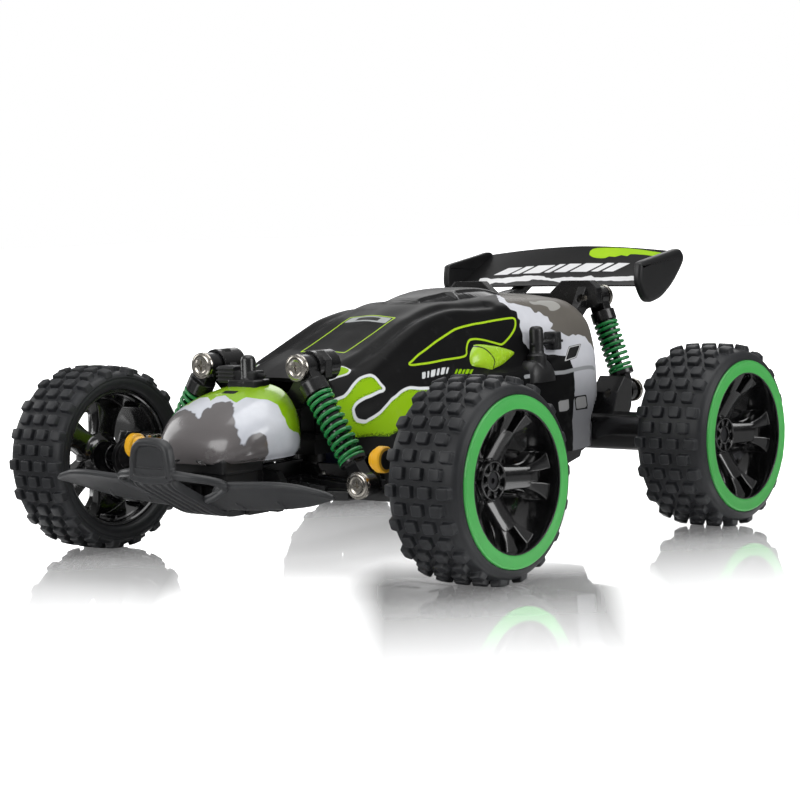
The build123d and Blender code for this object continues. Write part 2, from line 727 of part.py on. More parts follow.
def shock_pieces(shock):
    # body, rod and spring, placed on the left side
    dx, dz = shock.low[0] - shock.top[0], shock.low[1] - shock.top[1]
    span = math.hypot(dx, dz)
    # x_dir is global y cross z_dir, so local y stays along global y
    place = Plane(
        origin=(shock.top[0], shock.y, shock.top[1]),
        x_dir=(dz / span, 0, -dx / span),
        z_dir=(dx / span, 0, dz / span))
    return {
        "body": place * shock_body(shock),
        "rod": place * shock_rod(shock, span),
        "spring": place * shock_spring(shock),
    }


# ---------------------------------------------------------------- rear axle unit
# gearbox case with the right tube, cover with the left tube; outlines are (y, z)
case_outline = [
    (31.6, 26.4), (36, 25.6), (44, 24.0), (60, 20.8), (74, 20.2), (84, 22.4), (88.2, 30),
    (88.2, 42), (80, 49.6), (68, 57.5), (56, 62.0), (44, 62.4), (35, 58.5), (31.0, 50.0),
    (31.0, 36.0),
]
web_outline = [(70, 40.0), (78, 34), (84.0, 44.0), (84.8, 54.0), (80.0, 56.0), (74.0, 50.0)]
tube_radius = 7.5
collar_radius = 9.0
tube_end_x = 77.0
case_right_x = -22.6
case_left_x = 21.0
cover_left_x = 23.0
# stretch of the case that holds the gears
gear_room = (9.8, case_left_x)


def on_axle(radius, x0, x1):
    return cyl_x(radius, x0, x1, axle_y_rear, axle_z)


def on_motor(radius, x0, x1):
    return cyl_x(radius, x0, x1, motor_y, motor_z)


def shock_web():
    # carries the left lower shock screw
    return prism_x(web_outline, 36.5, 48.5) - on_axle(tube_radius, 36, 49)


def cut_axle_bores(body):
    body -= on_axle(axle_radius + running_gap, -80, 80)
    body -= cyl_x(pin_radius + running_gap, -30, 30, axle_pivot_y, axle_pivot_z)
    for side in (1, -1):
        body -= cyl_y(pin_radius, 72, 90, side * rear_shock.low[0], rear_shock.low[1])
    return body


def axle_housing():
    case = prism_x(case_outline, case_right_x, case_left_x)
    case += on_axle(tube_radius, -tube_end_x, case_right_x)
    case += on_axle(collar_radius, -30.0, case_right_x)
    case += mir(shock_web())
    # gear pockets, motor bay and motor shaft hole
    case -= on_axle(13.5, *gear_room)
    case -= cyl_x(12.0, *gear_room, idler_y, idler_z)
    case -= on_motor(5.6, *gear_room)
    case -= on_motor(motor_radius, case_right_x, 8.6)
    case -= on_motor(2.6, 8.0, 12.0)
    # idler spindle
    case += cyl_x(pin_radius, 8.0, case_left_x, idler_y, idler_z)
    return cut_axle_bores(case)


def gearbox_cover():
    cover = prism_x(case_outline, case_left_x, cover_left_x)
    cover += on_axle(tube_radius, cover_left_x, tube_end_x)
    cover += on_axle(collar_radius, cover_left_x, 30.0)
    cover += shock_web()
    return cut_axle_bores(cover)


def drive_motor():
    motor = on_motor(motor_radius, -21.6, 8.6)
    motor += on_motor(motor_shaft_radius, 8.6, 20.4) + on_motor(4.0, -23.4, -21.6)
    # two tabs on the right end
    for y in (motor_y - 9, motor_y + 6):
        motor += box(-23.2, -21.6, y, y + 3, motor_z - 1, motor_z + 1)
    return motor


# ---------------------------------------------------------------- gears
idler_angle = math.atan2(idler_z - axle_z, idler_y - axle_y_rear)
motor_angle = math.atan2(motor_z - idler_z, motor_y - idler_y)


def gear(teeth, phase, x0, x1, y, z):
    # involute stub teeth, 25 degree flanks; a tooth is centred on angle `phase`
    pressure = math.radians(25)
    pitch_radius = gear_module * teeth / 2
    base = pitch_radius * math.cos(pressure)
    tip = pitch_radius + 0.8 * gear_module
    root = pitch_radius - 1.05 * gear_module
    pitch_half = math.pi / (2 * teeth) - gear_backlash / (4 * pitch_radius)
    base_half = pitch_half + math.tan(pressure) - pressure

    def half_angle(radius):
        if radius <= base:
            return base_half
        roll = math.acos(base / radius)
        return base_half - (math.tan(roll) - roll)

    start = max(base, root + 0.05)
    radii = [
        root, start, (start + pitch_radius) / 2, pitch_radius, (pitch_radius + tip) / 2, tip,
    ]
    flank = [(radius, -half_angle(radius)) for radius in radii]
    flank += [(radius, half_angle(radius)) for radius in reversed(radii)]
    points = []
    for i in range(teeth):
        centre = phase + 2 * math.pi * i / teeth
        for radius, offset in flank:
            angle = centre + offset
            points.append((radius * math.cos(angle), radius * math.sin(angle)))
    return extrude(plane_x(x0, y, z) * Polygon(*points, align=None), amount=x1 - x0)


def drive_gear():
    body = gear(drive_teeth, idler_angle, 10.4, 14.8, axle_y_rear, axle_z)
    body += on_axle(4.5, 14.8, 19.0)
    return body - on_axle(axle_radius, 5, 25)


def idler_gear():
    phase = idler_angle + math.pi + math.pi / idler_small_teeth
    body = gear(idler_small_teeth, phase, 10.4, 15.6, idler_y, idler_z)
    body += gear(idler_large_teeth, motor_angle, 15.6, 19.8, idler_y, idler_z)
    return body - cyl_x(pin_radius + running_gap, 5, 25, idler_y, idler_z)


def motor_pinion():
    phase = motor_angle + math.pi + math.pi / pinion_teeth
    body = gear(pinion_teeth, phase, 15.4, 20.0, motor_y, motor_z)
    return body - on_motor(motor_shaft_radius, 5, 25)


# ---------------------------------------------------------------- all pieces
pieces = {
    function.__name__: function()
    for function in (
        chassis_tub, battery_cover, chassis_deck, battery_pack, control_board, steering_servo,
        front_bumper, nose_cover, front_shock_tower, rear_shock_tower, body_shell, rear_wing,
        wing_mount, body_clips, steering_rack, servo_arm, axle_housing, gearbox_cover,
        drive_motor, drive_gear, idler_gear, motor_pinion, hinge_pins, tower_screws,
        power_switch,
    )
}
pieces["axle_shaft"] = on_axle(axle_radius, -95.0, 95.0)
pieces["rear_tyres"] = both(at_wheel(tyre(), axle_y_rear))
pieces["rear_rims"] = both(at_wheel(rim(axle_radius), axle_y_rear))
pieces["rear_rings"] = both(at_wheel(bead_ring(), axle_y_rear))
pieces["rear_wheel_nuts"] = both(wheel_nut())
pieces["axle_screws"] = group(
    *[ball_screw(side, rear_shock.low, 76.0, rear_shock.low_ball) for side in (1, -1)])
pieces["deck_screws"] = group(*[deck_screw(x, y) for x, y in deck_posts])

arm_pins = (kingpin(), pan_screw(*front_shock.low, front_screw_head_y, -76.8))
pieces["arm_pins_left"] = group(*arm_pins)
pieces["arm_pins_right"] = group(*[mir(pin) for pin in arm_pins])

# left pieces with a mirrored right twin
left_pieces = {
    "knuckle": knuckle(),
    "stub_axle": stub_axle(),
    "steering_link": steering_link(),
    "front_arm": front_arm(),
    "tyre_front": at_wheel(tyre(), axle_y_front),
    "rim_front": at_wheel(rim(axle_radius + running_gap), axle_y_front),
    "ring_front": at_wheel(bead_ring(), axle_y_front),
}
for end, shock in (("front", front_shock), ("rear", rear_shock)):
    for kind, shape in shock_pieces(shock).items():
        left_pieces[f"shock_{kind}_{end}"] = shape
for name, shape in left_pieces.items():
    pieces[name + "_left"] = shape
    pieces[name + "_right"] = mir(shape)

# one file per piece
os.makedirs("parts", exist_ok=True)
for name, shape in pieces.items():
    export_step(Pos(0, centre_shift, 0) * shape, os.path.join("parts", name + ".step"))
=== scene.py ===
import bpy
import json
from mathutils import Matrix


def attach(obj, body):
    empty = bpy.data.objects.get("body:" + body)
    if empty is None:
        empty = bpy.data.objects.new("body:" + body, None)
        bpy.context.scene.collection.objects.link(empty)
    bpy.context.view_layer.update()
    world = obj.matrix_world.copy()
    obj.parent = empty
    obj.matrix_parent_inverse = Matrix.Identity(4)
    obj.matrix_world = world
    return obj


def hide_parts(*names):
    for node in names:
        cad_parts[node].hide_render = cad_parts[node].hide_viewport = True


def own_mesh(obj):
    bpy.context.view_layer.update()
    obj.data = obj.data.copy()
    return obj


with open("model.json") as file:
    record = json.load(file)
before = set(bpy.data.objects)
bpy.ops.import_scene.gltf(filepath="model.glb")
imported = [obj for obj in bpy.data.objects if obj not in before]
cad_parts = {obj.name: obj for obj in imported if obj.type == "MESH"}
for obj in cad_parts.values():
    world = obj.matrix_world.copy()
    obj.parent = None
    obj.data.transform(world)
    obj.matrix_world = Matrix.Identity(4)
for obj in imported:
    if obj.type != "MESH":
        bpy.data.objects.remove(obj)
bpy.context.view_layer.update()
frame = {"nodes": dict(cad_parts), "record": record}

import json
import math

import bmesh
import bpy
import numpy as np
from mathutils import Matrix, Vector

MM = 0.001
SHIFT_Y = 6.0
HALF_WHEELBASE = 73.85
TYRE_R = 35.0
AXLE_Z = TYRE_R
WHEEL_INNER_X = 79.0  # inboard plane of the wheels
AXLES = (("front", -HALF_WHEELBASE), ("rear", HALF_WHEELBASE))
SIDES = (("left", 1), ("right", -1))
FAR = 9.0  # painted distances are limited to this


# ---------------------------------------------------------------- meshes
# A shell is a pair: vertices (n, 3) in design millimetres, and faces.
def to_world(verts):
    return (np.asarray(verts, float).reshape(-1, 3) + np.array([0, SHIFT_Y, 0])) * MM


def add_mesh(name, shell, mat, body, replaces=(), sharp=40, attrs=None, recalc=True):
    """Make the object, smooth it with edges over `sharp` degrees kept, attach it to its body and
    hide the parts it replaces.
    """
    verts, faces = shell
    mesh = bpy.data.meshes.new(name)
    mesh.from_pydata(to_world(verts).tolist(), [], [tuple(int(i) for i in f) for f in faces])
    for key, values in (attrs or {}).items():
        layer = mesh.attributes.new(key, "FLOAT", "POINT")
        layer.data.foreach_set("value", np.asarray(values, np.float32))
    if recalc:
        bm = bmesh.new()
        bm.from_mesh(mesh)
        bmesh.ops.recalc_face_normals(bm, faces=bm.faces)
        bm.to_mesh(mesh)
        bm.free()
    mesh.shade_smooth()
    if sharp is not None:
        mesh.set_sharp_from_angle(angle=math.radians(sharp))
    mesh.update()
    ob = bpy.data.objects.new(name, mesh)
    bpy.context.scene.collection.objects.link(ob)
    mesh.materials.append(mat)
    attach(ob, body)
    if replaces:
        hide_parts(*replaces)
    return ob


def joined(shells):
    all_verts, all_faces, count = [], [], 0
    for verts, faces in shells:
        verts = np.asarray(verts, float)
        all_verts.append(verts)
        all_faces.extend(tuple(i + count for i in f) for f in faces)
        count += len(verts)
    return np.concatenate(all_verts), all_faces


def placed(shell, offset=(0, 0, 0), scale=(1, 1, 1)):
    verts, faces = shell
    return np.asarray(verts, float) * np.array(scale) + np.array(offset), faces


def spun(shell, angle):
    """Turn a shell about z."""
    verts, faces = shell
    x, y, z = verts.T
    c, s = math.cos(angle), math.sin(angle)
    return np.stack([x * c - y * s, x * s + y * c, z], axis=1), faces


def prism(low, top):
    """Closed prism, as a bmesh, between two outlines of equal count."""
    bm = bmesh.new()
    low = [bm.verts.new(p) for p in low]
    top = [bm.verts.new(p) for p in top]
    bm.faces.new(low[::-1])
    bm.faces.new(top)
    for i in range(len(low)):
        j = (i + 1) % len(low)
        bm.faces.new((low[i], low[j], top[j], top[i]))
    bm.normal_update()
    return bm


def bevel_edges(bm, edges, offset, seg, profile, **options):
    bmesh.ops.bevel(
        bm, geom=edges, offset=offset, segments=seg, profile=profile, affect="EDGES", **options
    )


def shell_of(bm):
    bm.verts.ensure_lookup_table()
    shell = (
        np.array([v.co[:] for v in bm.verts]),
        [tuple(v.index for v in f.verts) for f in bm.faces],
    )
    bm.free()
    return shell


def slab(outline, z0, z1, bevel, seg=2, draft=0.0):
    """Bevelled prism over an (x, y) outline; its foot is wider by the draft."""
    outline = [tuple(map(float, p)) for p in outline]
    if sum(a[0] * b[1] - b[0] * a[1] for a, b in zip(outline, outline[1:] + outline[:1])) <= 0:
        outline = outline[::-1]
    centre = np.mean(np.array(outline), axis=0)
    low = []
    for point in outline:
        out = np.array(point) - centre
        foot = np.array(point) + out / (np.linalg.norm(out) + 1e-9) * draft
        low.append((foot[0], foot[1], z0))
    bm = prism(low, [(x, y, z1) for x, y in outline])
    edges = [e for e in bm.edges if e.calc_face_angle(0) > math.radians(25)]
    bevel_edges(bm, edges, bevel, seg, 0.6, clamp_overlap=True)
    return shell_of(bm)


def block(xs, ys, zs, bevel, seg=2):
    (x0, x1), (y0, y1) = xs, ys
    return slab([(x0, y0), (x1, y0), (x1, y1), (x0, y1)], *zs, bevel, seg)


def lathe(profile, n):
    """Closed (r, z) profile turned about z; points with r = 0 become poles."""
    verts, faces, rings = [], [], []
    for r, z in profile:
        if r < 1e-6:
            rings.append([len(verts)])
            verts.append((0, 0, z))
            continue
        rings.append(list(range(len(verts), len(verts) + n)))
        for i in range(n):
            angle = 2 * math.pi * i / n
            verts.append((r * math.cos(angle), r * math.sin(angle), z))
    for a, b in zip(rings, rings[1:] + rings[:1]):
        if len(a) == 1 and len(b) == 1:
            continue
        for i in range(n):
            j = (i + 1) % n
            if len(a) == 1:
                faces.append((a[0], b[j], b[i]))
            elif len(b) == 1:
                faces.append((a[i], a[j], b[0]))
            else:
                faces.append((a[i], a[j], b[j], b[i]))
    return np.array(verts), faces


def catmull_rom(a, b, c, d, t):
    return 0.5 * (
        2 * b + (c - a) * t + (2 * a - 5 * b + 4 * c - d) * t * t + (3 * b - a - 3 * c + d) * t**3
    )


def smooth_path(points, per, closed=False):
    """Catmull-Rom curve through the points, `per` samples to each span."""
    p = np.array(points, float)
    n = len(p)
    if closed:
        p = np.concatenate([p[-1:], p, p[:2]])
    else:
        p = np.concatenate([[2 * p[0] - p[1]], p, [2 * p[-1] - p[-2]]])
    out = []
    for i in range(n if closed else n - 1):
        out.extend(catmull_rom(*p[i : i + 4], k / per) for k in range(per))
    if not closed:
        out.append(p[-2])
    return np.array(out)


def smoothstep(t):
    return t * t * (3 - 2 * t)


def unit(v):
    return v / np.linalg.norm(v)


def unit_rows(v):
    return v / np.linalg.norm(v, axis=1)[:, None]


def loop_faces(count, n):
    """Faces of `count` stacked loops of n points, with both ends capped."""
    faces = []
    for i in range(count - 1):
        for k in range(n):
            j = (k + 1) % n
            faces.append((i * n + k, i * n + j, (i + 1) * n + j, (i + 1) * n + k))
    faces.append(tuple(reversed(range(n))))
    faces.append(tuple(range((count - 1) * n, count * n)))
    return faces


def tube(path, radius, n):
    """Round bar along a path, with one radius or one for each point."""
    path = np.asarray(path, float)
    radii = np.broadcast_to(np.asarray(radius, float), (len(path),))
    tangents = unit_rows(np.gradient(path, axis=0))
    normal = np.array([0.0, 0.0, 1.0])
    verts = []
    for p, r, t in zip(path, radii, tangents):
        normal = unit(normal - (normal @ t) * t)
        side = np.cross(t, normal)
        for k in range(n):
            a = 2 * math.pi * k / n
            verts.append(p + r * (math.cos(a) * normal + math.sin(a) * side))
    return np.array(verts), loop_faces(len(path), n)


def loft(loops):
    return np.concatenate([np.asarray(q, float) for q in loops]), loop_faces(
        len(loops), len(loops[0])
    )


def grid_normals(grid):
    """Unit normals of a (rows, cols, 3) surface, pointing up at its middle."""
    normals = np.cross(np.gradient(grid, axis=0), np.gradient(grid, axis=1))
    normals /= np.linalg.norm(normals, axis=2)[:, :, None] + 1e-12
    if normals[grid.shape[0] // 2, grid.shape[1] // 2, 2] < 0:
        normals = -normals
    return normals


def grid_shell(grid, thick):
    """Closed skin whose outer side is the grid; outer vertices come first, then inner."""
    rows, cols, _ = grid.shape
    inner = grid - grid_normals(grid) * thick
    verts = np.concatenate([grid.reshape(-1, 3), inner.reshape(-1, 3)])
    count = rows * cols
    index = np.arange(count).reshape(rows, cols)
    corners = [index[:-1, :-1], index[1:, :-1], index[1:, 1:], index[:-1, 1:]]
    quads = np.stack(corners, axis=-1).reshape(-1, 4)
    faces = [*map(tuple, quads), *map(tuple, quads[:, ::-1] + count)]
    rim = [*index[0, :], *index[1:, -1], *index[-1, :-1][::-1], *index[1:-1, 0][::-1]]
    for i, j in zip(rim, rim[1:] + rim[:1]):
        faces.append((i, j, j + count, i + count))
    return verts, faces


def full_grid(half):
    """Mirror a half surface whose columns run from its lower +X edge to the centre line."""
    other = (half * np.array([-1, 1, 1]))[:, ::-1][:, 1:]
    return np.concatenate([half, other], axis=1)


def monotone_columns(stations, values, at):
    """Monotone cubic through each column of values, sampled at the given stations."""
    stations, values = np.asarray(stations, float), np.asarray(values, float)
    step = np.diff(stations)[:, None]
    slope = np.diff(values, axis=0) / step
    tangent = np.zeros_like(values)
    w1 = 2 * step[1:] + step[:-1]
    w2 = step[1:] + 2 * step[:-1]
    with np.errstate(divide="ignore", invalid="ignore"):
        harmonic = (w1 + w2) / (w1 / slope[:-1] + w2 / slope[1:])
    tangent[1:-1] = np.where(slope[:-1] * slope[1:] > 0, harmonic, 0)
    tangent[0], tangent[-1] = slope[0], slope[-1]
    i = np.clip(np.searchsorted(stations, at) - 1, 0, len(stations) - 2)
    span = (stations[i + 1] - stations[i])[:, None]
    t = (at - stations[i])[:, None] / span
    ma, mb = tangent[i] * span, tangent[i + 1] * span
    start = (2 * t**3 - 3 * t**2 + 1) * values[i] + (t**3 - 2 * t**2 + t) * ma
    return start + (-2 * t**3 + 3 * t**2) * values[i + 1] + (t**3 - t**2) * mb


def half_grid(stations, ys, per):
    """+X half of a surface through (y, [(x, z), ...]) sections, `per` columns to a span."""
    control = np.array([s[1] for s in stations], float)
    flat = monotone_columns([s[0] for s in stations], control.reshape(len(stations), -1), ys)
    c = flat.reshape(len(ys), control.shape[1], 2)
    first = 2 * c[:, :1] - c[:, 1:2]
    last = c[:, -2:-1] * np.array([-1, 1])  # mirrored across the centre plane
    c = np.concatenate([first, c, last], axis=1)
    columns = []
    for s in range(c.shape[1] - 3):
        quad = [c[:, s + i] for i in range(4)]
        columns.extend(catmull_rom(*quad, j / per) for j in range(per))
    columns.append(c[:, -2])
    section = np.stack(columns, axis=1)
    y = np.repeat(ys[:, None], section.shape[1], axis=1)
    return np.stack([section[:, :, 0], y, section[:, :, 1]], axis=2)


# ---------------------------------------------------------------- distances for painted shapes
def path_distance(path, points, closed=False):
    path = np.asarray(path, float)
    starts = path if closed else path[:-1]
    ends = np.roll(path, -1, 0) if closed else path[1:]
    best = np.full(len(points), 1e9)
    for p, q in zip(starts, ends):
        d = q - p
        t = np.clip(((points - p) @ d) / (d @ d + 1e-12), 0, 1)
        best = np.minimum(best, np.hypot(*(points - p - t[:, None] * d).T))
    return best


def is_inside(poly, points):
    poly = np.asarray(poly, float)
    x, y = points[:, 0], points[:, 1]
    hit = np.zeros(len(points), bool)
    for (xi, yi), (xj, yj) in zip(poly, np.roll(poly, 1, 0)):
        rise = (yj - yi) if abs(yj - yi) > 1e-12 else 1e-12
        hit ^= ((yi > y) != (yj > y)) & (x < (xj - xi) * (y - yi) / rise + xi)
    return hit


def depth_in(poly, points):
    """Distance to the outline, positive inside it."""
    d = path_distance(poly, points, closed=True)
    return np.where(is_inside(poly, points), d, -d)


def ragged(path, amp, step, seed):
    """Add a torn-paper edge to an open path."""
    rng = np.random.default_rng(seed)
    path = np.asarray(path, float)
    out = [path[0]]
    for p, q in zip(path[:-1], path[1:]):
        length = np.linalg.norm(q - p)
        count = max(1, int(length / step))
        normal = np.array([-(q - p)[1], (q - p)[0]]) / (length + 1e-9)
        for i in range(1, count + 1):
            on_line = p + (q - p) * i / count
            out.append(on_line + (normal * rng.uniform(-amp, amp) if i < count else 0))
    return np.array(out)


def outer_only(values):
    """Painted distance for a grid shell: clipped outside, absent on the inner skin."""
    return np.concatenate([np.clip(values, -FAR, FAR), np.full(len(values), -FAR)])


def skin_flag(count):
    return np.concatenate([np.ones(count), np.zeros(count)])


# ---------------------------------------------------------------- shader graphs
class Graph:
    """A cleared node tree with short calls for the nodes used here."""

    def __init__(self, tree):
        self.tree = tree
        tree.nodes.clear()
        self.coords = self.node("ShaderNodeTexCoord")

    def node(self, kind, **settings):
        n = self.tree.nodes.new(kind)
        for key, value in settings.items():
            setattr(n, key, value)
        return n

    def link(self, source, target):
        self.tree.links.new(source, target)

    def put(self, socket, value):
        """Link a socket, or set an RGB colour or a number."""
        if isinstance(value, bpy.types.NodeSocket):
            self.link(value, socket)
        elif isinstance(value, tuple):
            socket.default_value = (*value, 1)
        else:
            socket.default_value = value

    def noise(self, scale, detail=3.0, rough=0.55, vector=None):
        n = self.node("ShaderNodeTexNoise")
        n.inputs["Scale"].default_value = scale
        n.inputs["Detail"].default_value = detail
        n.inputs["Roughness"].default_value = rough
        self.link(vector or self.coords.outputs["Object"], n.inputs["Vector"])
        return n.outputs[0]

    def voronoi(self, scale):
        n = self.node("ShaderNodeTexVoronoi")
        n.inputs["Scale"].default_value = scale
        self.link(self.coords.outputs["Object"], n.inputs["Vector"])
        return n.outputs["Distance"]

    def split(self, vector):
        n = self.node("ShaderNodeSeparateXYZ")
        self.link(vector, n.inputs[0])
        return n.outputs

    def math(self, op, a, b=0.0):
        n = self.node("ShaderNodeMath", operation=op)
        self.put(n.inputs[0], a)
        self.put(n.inputs[1], b)
        return n.outputs[0]

    def add(self, a, b):
        return self.math("ADD", a, b)

    def sub(self, a, b):
        return self.math("SUBTRACT", a, b)

    def mul(self, a, b):
        return self.math("MULTIPLY", a, b)

    def size(self, a):
        return self.math("ABSOLUTE", a)

    def ramp(self, value, lo, hi, start=0.0, end=1.0):
        """Clamped line from start at lo to end at hi."""
        n = self.node("ShaderNodeMapRange", clamp=True)
        for socket, v in zip(n.inputs, (value, lo, hi, start, end)):
            self.put(socket, v)
        return n.outputs[0]

    def mix(self, fac, a, b):
        n = self.node("ShaderNodeMix", data_type="RGBA")
        self.put(n.inputs[0], fac)
        self.put(n.inputs[6], a)
        self.put(n.inputs[7], b)
        return n.outputs[2]

    def mix_shader(self, fac, a, b):
        n = self.node("ShaderNodeMixShader")
        for source, target in zip((fac, a, b), n.inputs):
            self.link(source, target)
        return n.outputs[0]


class Paint(Graph):
    """A material built round one Principled shader."""

    def __init__(self, name):
        self.mat = bpy.data.materials.new(name)
        self.mat.use_nodes = True
        super().__init__(self.mat.node_tree)
        self.out = self.node("ShaderNodeOutputMaterial")
        self.bsdf = self.node("ShaderNodeBsdfPrincipled")
        self.link(self.bsdf.outputs[0], self.out.inputs[0])

    def attr(self, name):
        return self.node("ShaderNodeAttribute", attribute_name=name).outputs["Fac"]

    def mask(self, distance, soft=0.12):
        """1 where a distance is positive, with an edge of the given softness in mm."""
        return self.ramp(distance, -soft, soft)

    def line(self, distance, half_width):
        """Distance field of a line along another field's zero."""
        return self.sub(half_width, self.size(distance))

    def paint(self, under, field, colour, soft=0.12):
        return self.mix(self.mask(self.attr(field), soft), under, colour)

    def mottle(self, a, b, scale, detail=3.0, lo=0.3, hi=0.7):
        """Cloudy blend of two colours; lo and hi are noise levels."""
        return self.mix(self.ramp(self.noise(scale, detail), lo, hi), a, b)

    def lime(self):
        return self.mottle(LIME, LIME_PALE, scale=40.0, lo=0.35)

    def haze(self, scale=85.0, detail=6.0, lo=0.56):
        """Patches of handling haze."""
        return self.ramp(self.noise(scale, detail, rough=0.7), lo, 0.75)

    def bump(self, height, strength, distance, normal=None):
        n = self.node("ShaderNodeBump")
        n.inputs["Strength"].default_value = strength
        n.inputs["Distance"].default_value = distance
        self.link(height, n.inputs["Height"])
        if normal is not None:
            self.link(normal, n.inputs["Normal"])
        return n.outputs[0]

    def paint_grain(self, scale=900.0, strength=0.05, soft_edges=True):
        """Fine grain, with edges rounded by 0.4 mm where wanted."""
        normal = self.bevel(0.0004) if soft_edges else None
        return self.bump(self.noise(scale), strength, distance=0.00008, normal=normal)

    def bevel(self, radius):
        n = self.node("ShaderNodeBevel", samples=4)
        n.inputs["Radius"].default_value = radius
        return n.outputs[0]

    def edge(self, radius):
        """About 1 on sharp edges, 0 on open faces."""
        n = self.node("ShaderNodeVectorMath", operation="DOT_PRODUCT")
        self.link(self.bevel(radius), n.inputs[0])
        self.link(self.node("ShaderNodeNewGeometry").outputs["Normal"], n.inputs[1])
        return self.ramp(n.outputs["Value"], 0.995, 0.90)

    def finish(self, colour, rough, normal=None, metallic=0.0, coat=0.0, coat_rough=0.08, spec=0.5):
        inputs = self.bsdf.inputs
        self.put(inputs["Base Color"], colour)
        self.put(inputs["Roughness"], rough)
        inputs["Metallic"].default_value = metallic
        inputs["Coat Weight"].default_value = coat
        inputs["Coat Roughness"].default_value = coat_rough
        inputs["Specular IOR Level"].default_value = spec
        if normal is not None:
            self.link(normal, inputs["Normal"])
            if coat > 0:
                self.link(normal, inputs["Coat Normal"])
        return self.mat


# ---------------------------------------------------------------- plain materials
LIME = (0.262, 0.505, 0.004)
LIME_PALE = (0.31, 0.56, 0.008)
LIME_LINE = (0.42, 0.66, 0.02)


def plastic(
    name, base, rough, drift, grain, bump,
    bevel=0.00035, wear=0.35, coat=0.0, spec=0.5, repaint=None,
):
    """Moulded plastic: shade drift, fine grain, worn soft edges and handling marks.

    drift is the share by which the shade varies, grain the noise scale, bump its strength.
    """
    t = Paint(name)
    cloud = t.noise(scale=26.0, detail=4.0)
    fine = t.noise(scale=grain)
    dark = tuple(c * (1 - drift) for c in base)
    light = tuple(min(1.0, c * (1 + drift) + 0.004) for c in base)
    colour = t.mix(t.ramp(cloud, 0.3, 0.7), dark, light)
    marks = t.ramp(t.noise(scale=160.0, detail=6.0, rough=0.7), 0.60, 0.72)
    if wear > 0:
        patches = t.ramp(t.noise(scale=240.0, detail=4.0), 0.35, 0.65)
        worn_edge = t.mul(t.edge(0.0006), patches)
        worn = tuple(min(1.0, c * 1.7 + 0.03) for c in base)
        colour = t.mix(t.mul(worn_edge, wear), colour, worn)
    if repaint:
        colour = repaint(t, colour)
    roughness = t.add(t.ramp(cloud, 0.3, 0.7, rough - 0.05, rough + 0.06), t.mul(marks, 0.10))
    normal = t.bump(fine, bump, distance=0.0001, normal=t.bevel(bevel) if bevel else None)
    return t.finish(colour, roughness, normal, coat=coat, coat_rough=0.06, spec=spec)


def painted_shade_ends(t, yellow):
    """Keep yellow only inboard and high: the knuckle's hub end and foot take near-black painted
    shade, standing for the shade inside the wheel.
    """
    coords = t.node("ShaderNodeTexCoord")
    x, _, z = t.split(coords.outputs["Object"])
    outboard = t.node("ShaderNodeMath", operation="ABSOLUTE")
    t.link(x, outboard.inputs[0])
    hub_end = t.ramp(outboard.outputs[0], 0.0608, 0.0612)
    foot = t.ramp(z, 0.0371, 0.0375, start=1.0, end=0.0)
    # painted shade: near-black over the hub end and the foot
    return t.mix(t.math("MAXIMUM", hub_end, foot), yellow, (0.0065, 0.0065, 0.007))


def metal(name, base, rough, brush=(1, 1, 14)):
    """Plated or bare metal: drawn lines, tarnish in patches, softened edges lightened by a painted
    highlight.
    """
    t = Paint(name)
    mapping = t.node("ShaderNodeMapping")
    mapping.inputs["Scale"].default_value = brush
    t.link(t.coords.outputs["Object"], mapping.inputs["Vector"])
    lines = t.noise(scale=420.0, detail=4.0, rough=0.6, vector=mapping.outputs[0])
    cloud = t.noise(scale=60.0, detail=4.0)
    dull = tuple(c * 0.75 for c in base)
    # painted highlight colour for the edges
    bright = tuple(min(1, c * 1.25) for c in base)
    colour = t.mix(t.ramp(cloud, 0.35, 0.75), base, dull)
    # painted highlight: the lighter copy is laid along the edges
    colour = t.mix(t.mul(t.edge(0.0004), 0.4), colour, bright)
    tarnish = t.ramp(cloud, 0.4, 0.8, 0.0, 0.12)
    roughness = t.add(t.ramp(lines, 0.3, 0.7, rough - 0.06, rough + 0.08), tarnish)
    normal = t.bump(lines, strength=0.10, distance=0.00006, normal=t.bevel(0.00025))
    return t.finish(colour, roughness, normal, metallic=1.0)


def rubber(name):
    """Dark rubber with pores, dust and a painted highlight on its edges."""
    t = Paint(name)
    cloud = t.noise(scale=22.0, detail=5.0)
    fine = t.noise(scale=1400.0, rough=0.7)
    pores = t.voronoi(scale=900.0)
    dust = t.ramp(t.noise(scale=70.0, detail=6.0, rough=0.7), 0.48, 0.70)
    dark, light = (0.0075, 0.0083, 0.0100), (0.0130, 0.0142, 0.0168)
    colour = t.mix(t.ramp(cloud, 0.3, 0.7), dark, light)
    colour = t.mix(t.mul(dust, 0.25), colour, (0.030, 0.032, 0.036))
    # painted highlight: the knob edges are lightened where light would catch them
    colour = t.mix(t.mul(t.edge(0.0009), 0.30), colour, (0.045, 0.048, 0.054))
    roughness = t.add(t.ramp(cloud, 0.3, 0.7, 0.42, 0.52), t.mul(dust, 0.08))
    height = t.add(fine, t.mul(pores, 0.4))
    normal = t.bump(height, strength=0.22, distance=0.00012, normal=t.bevel(0.0004))
    return t.finish(colour, roughness, normal, coat_rough=0.1, spec=0.44)


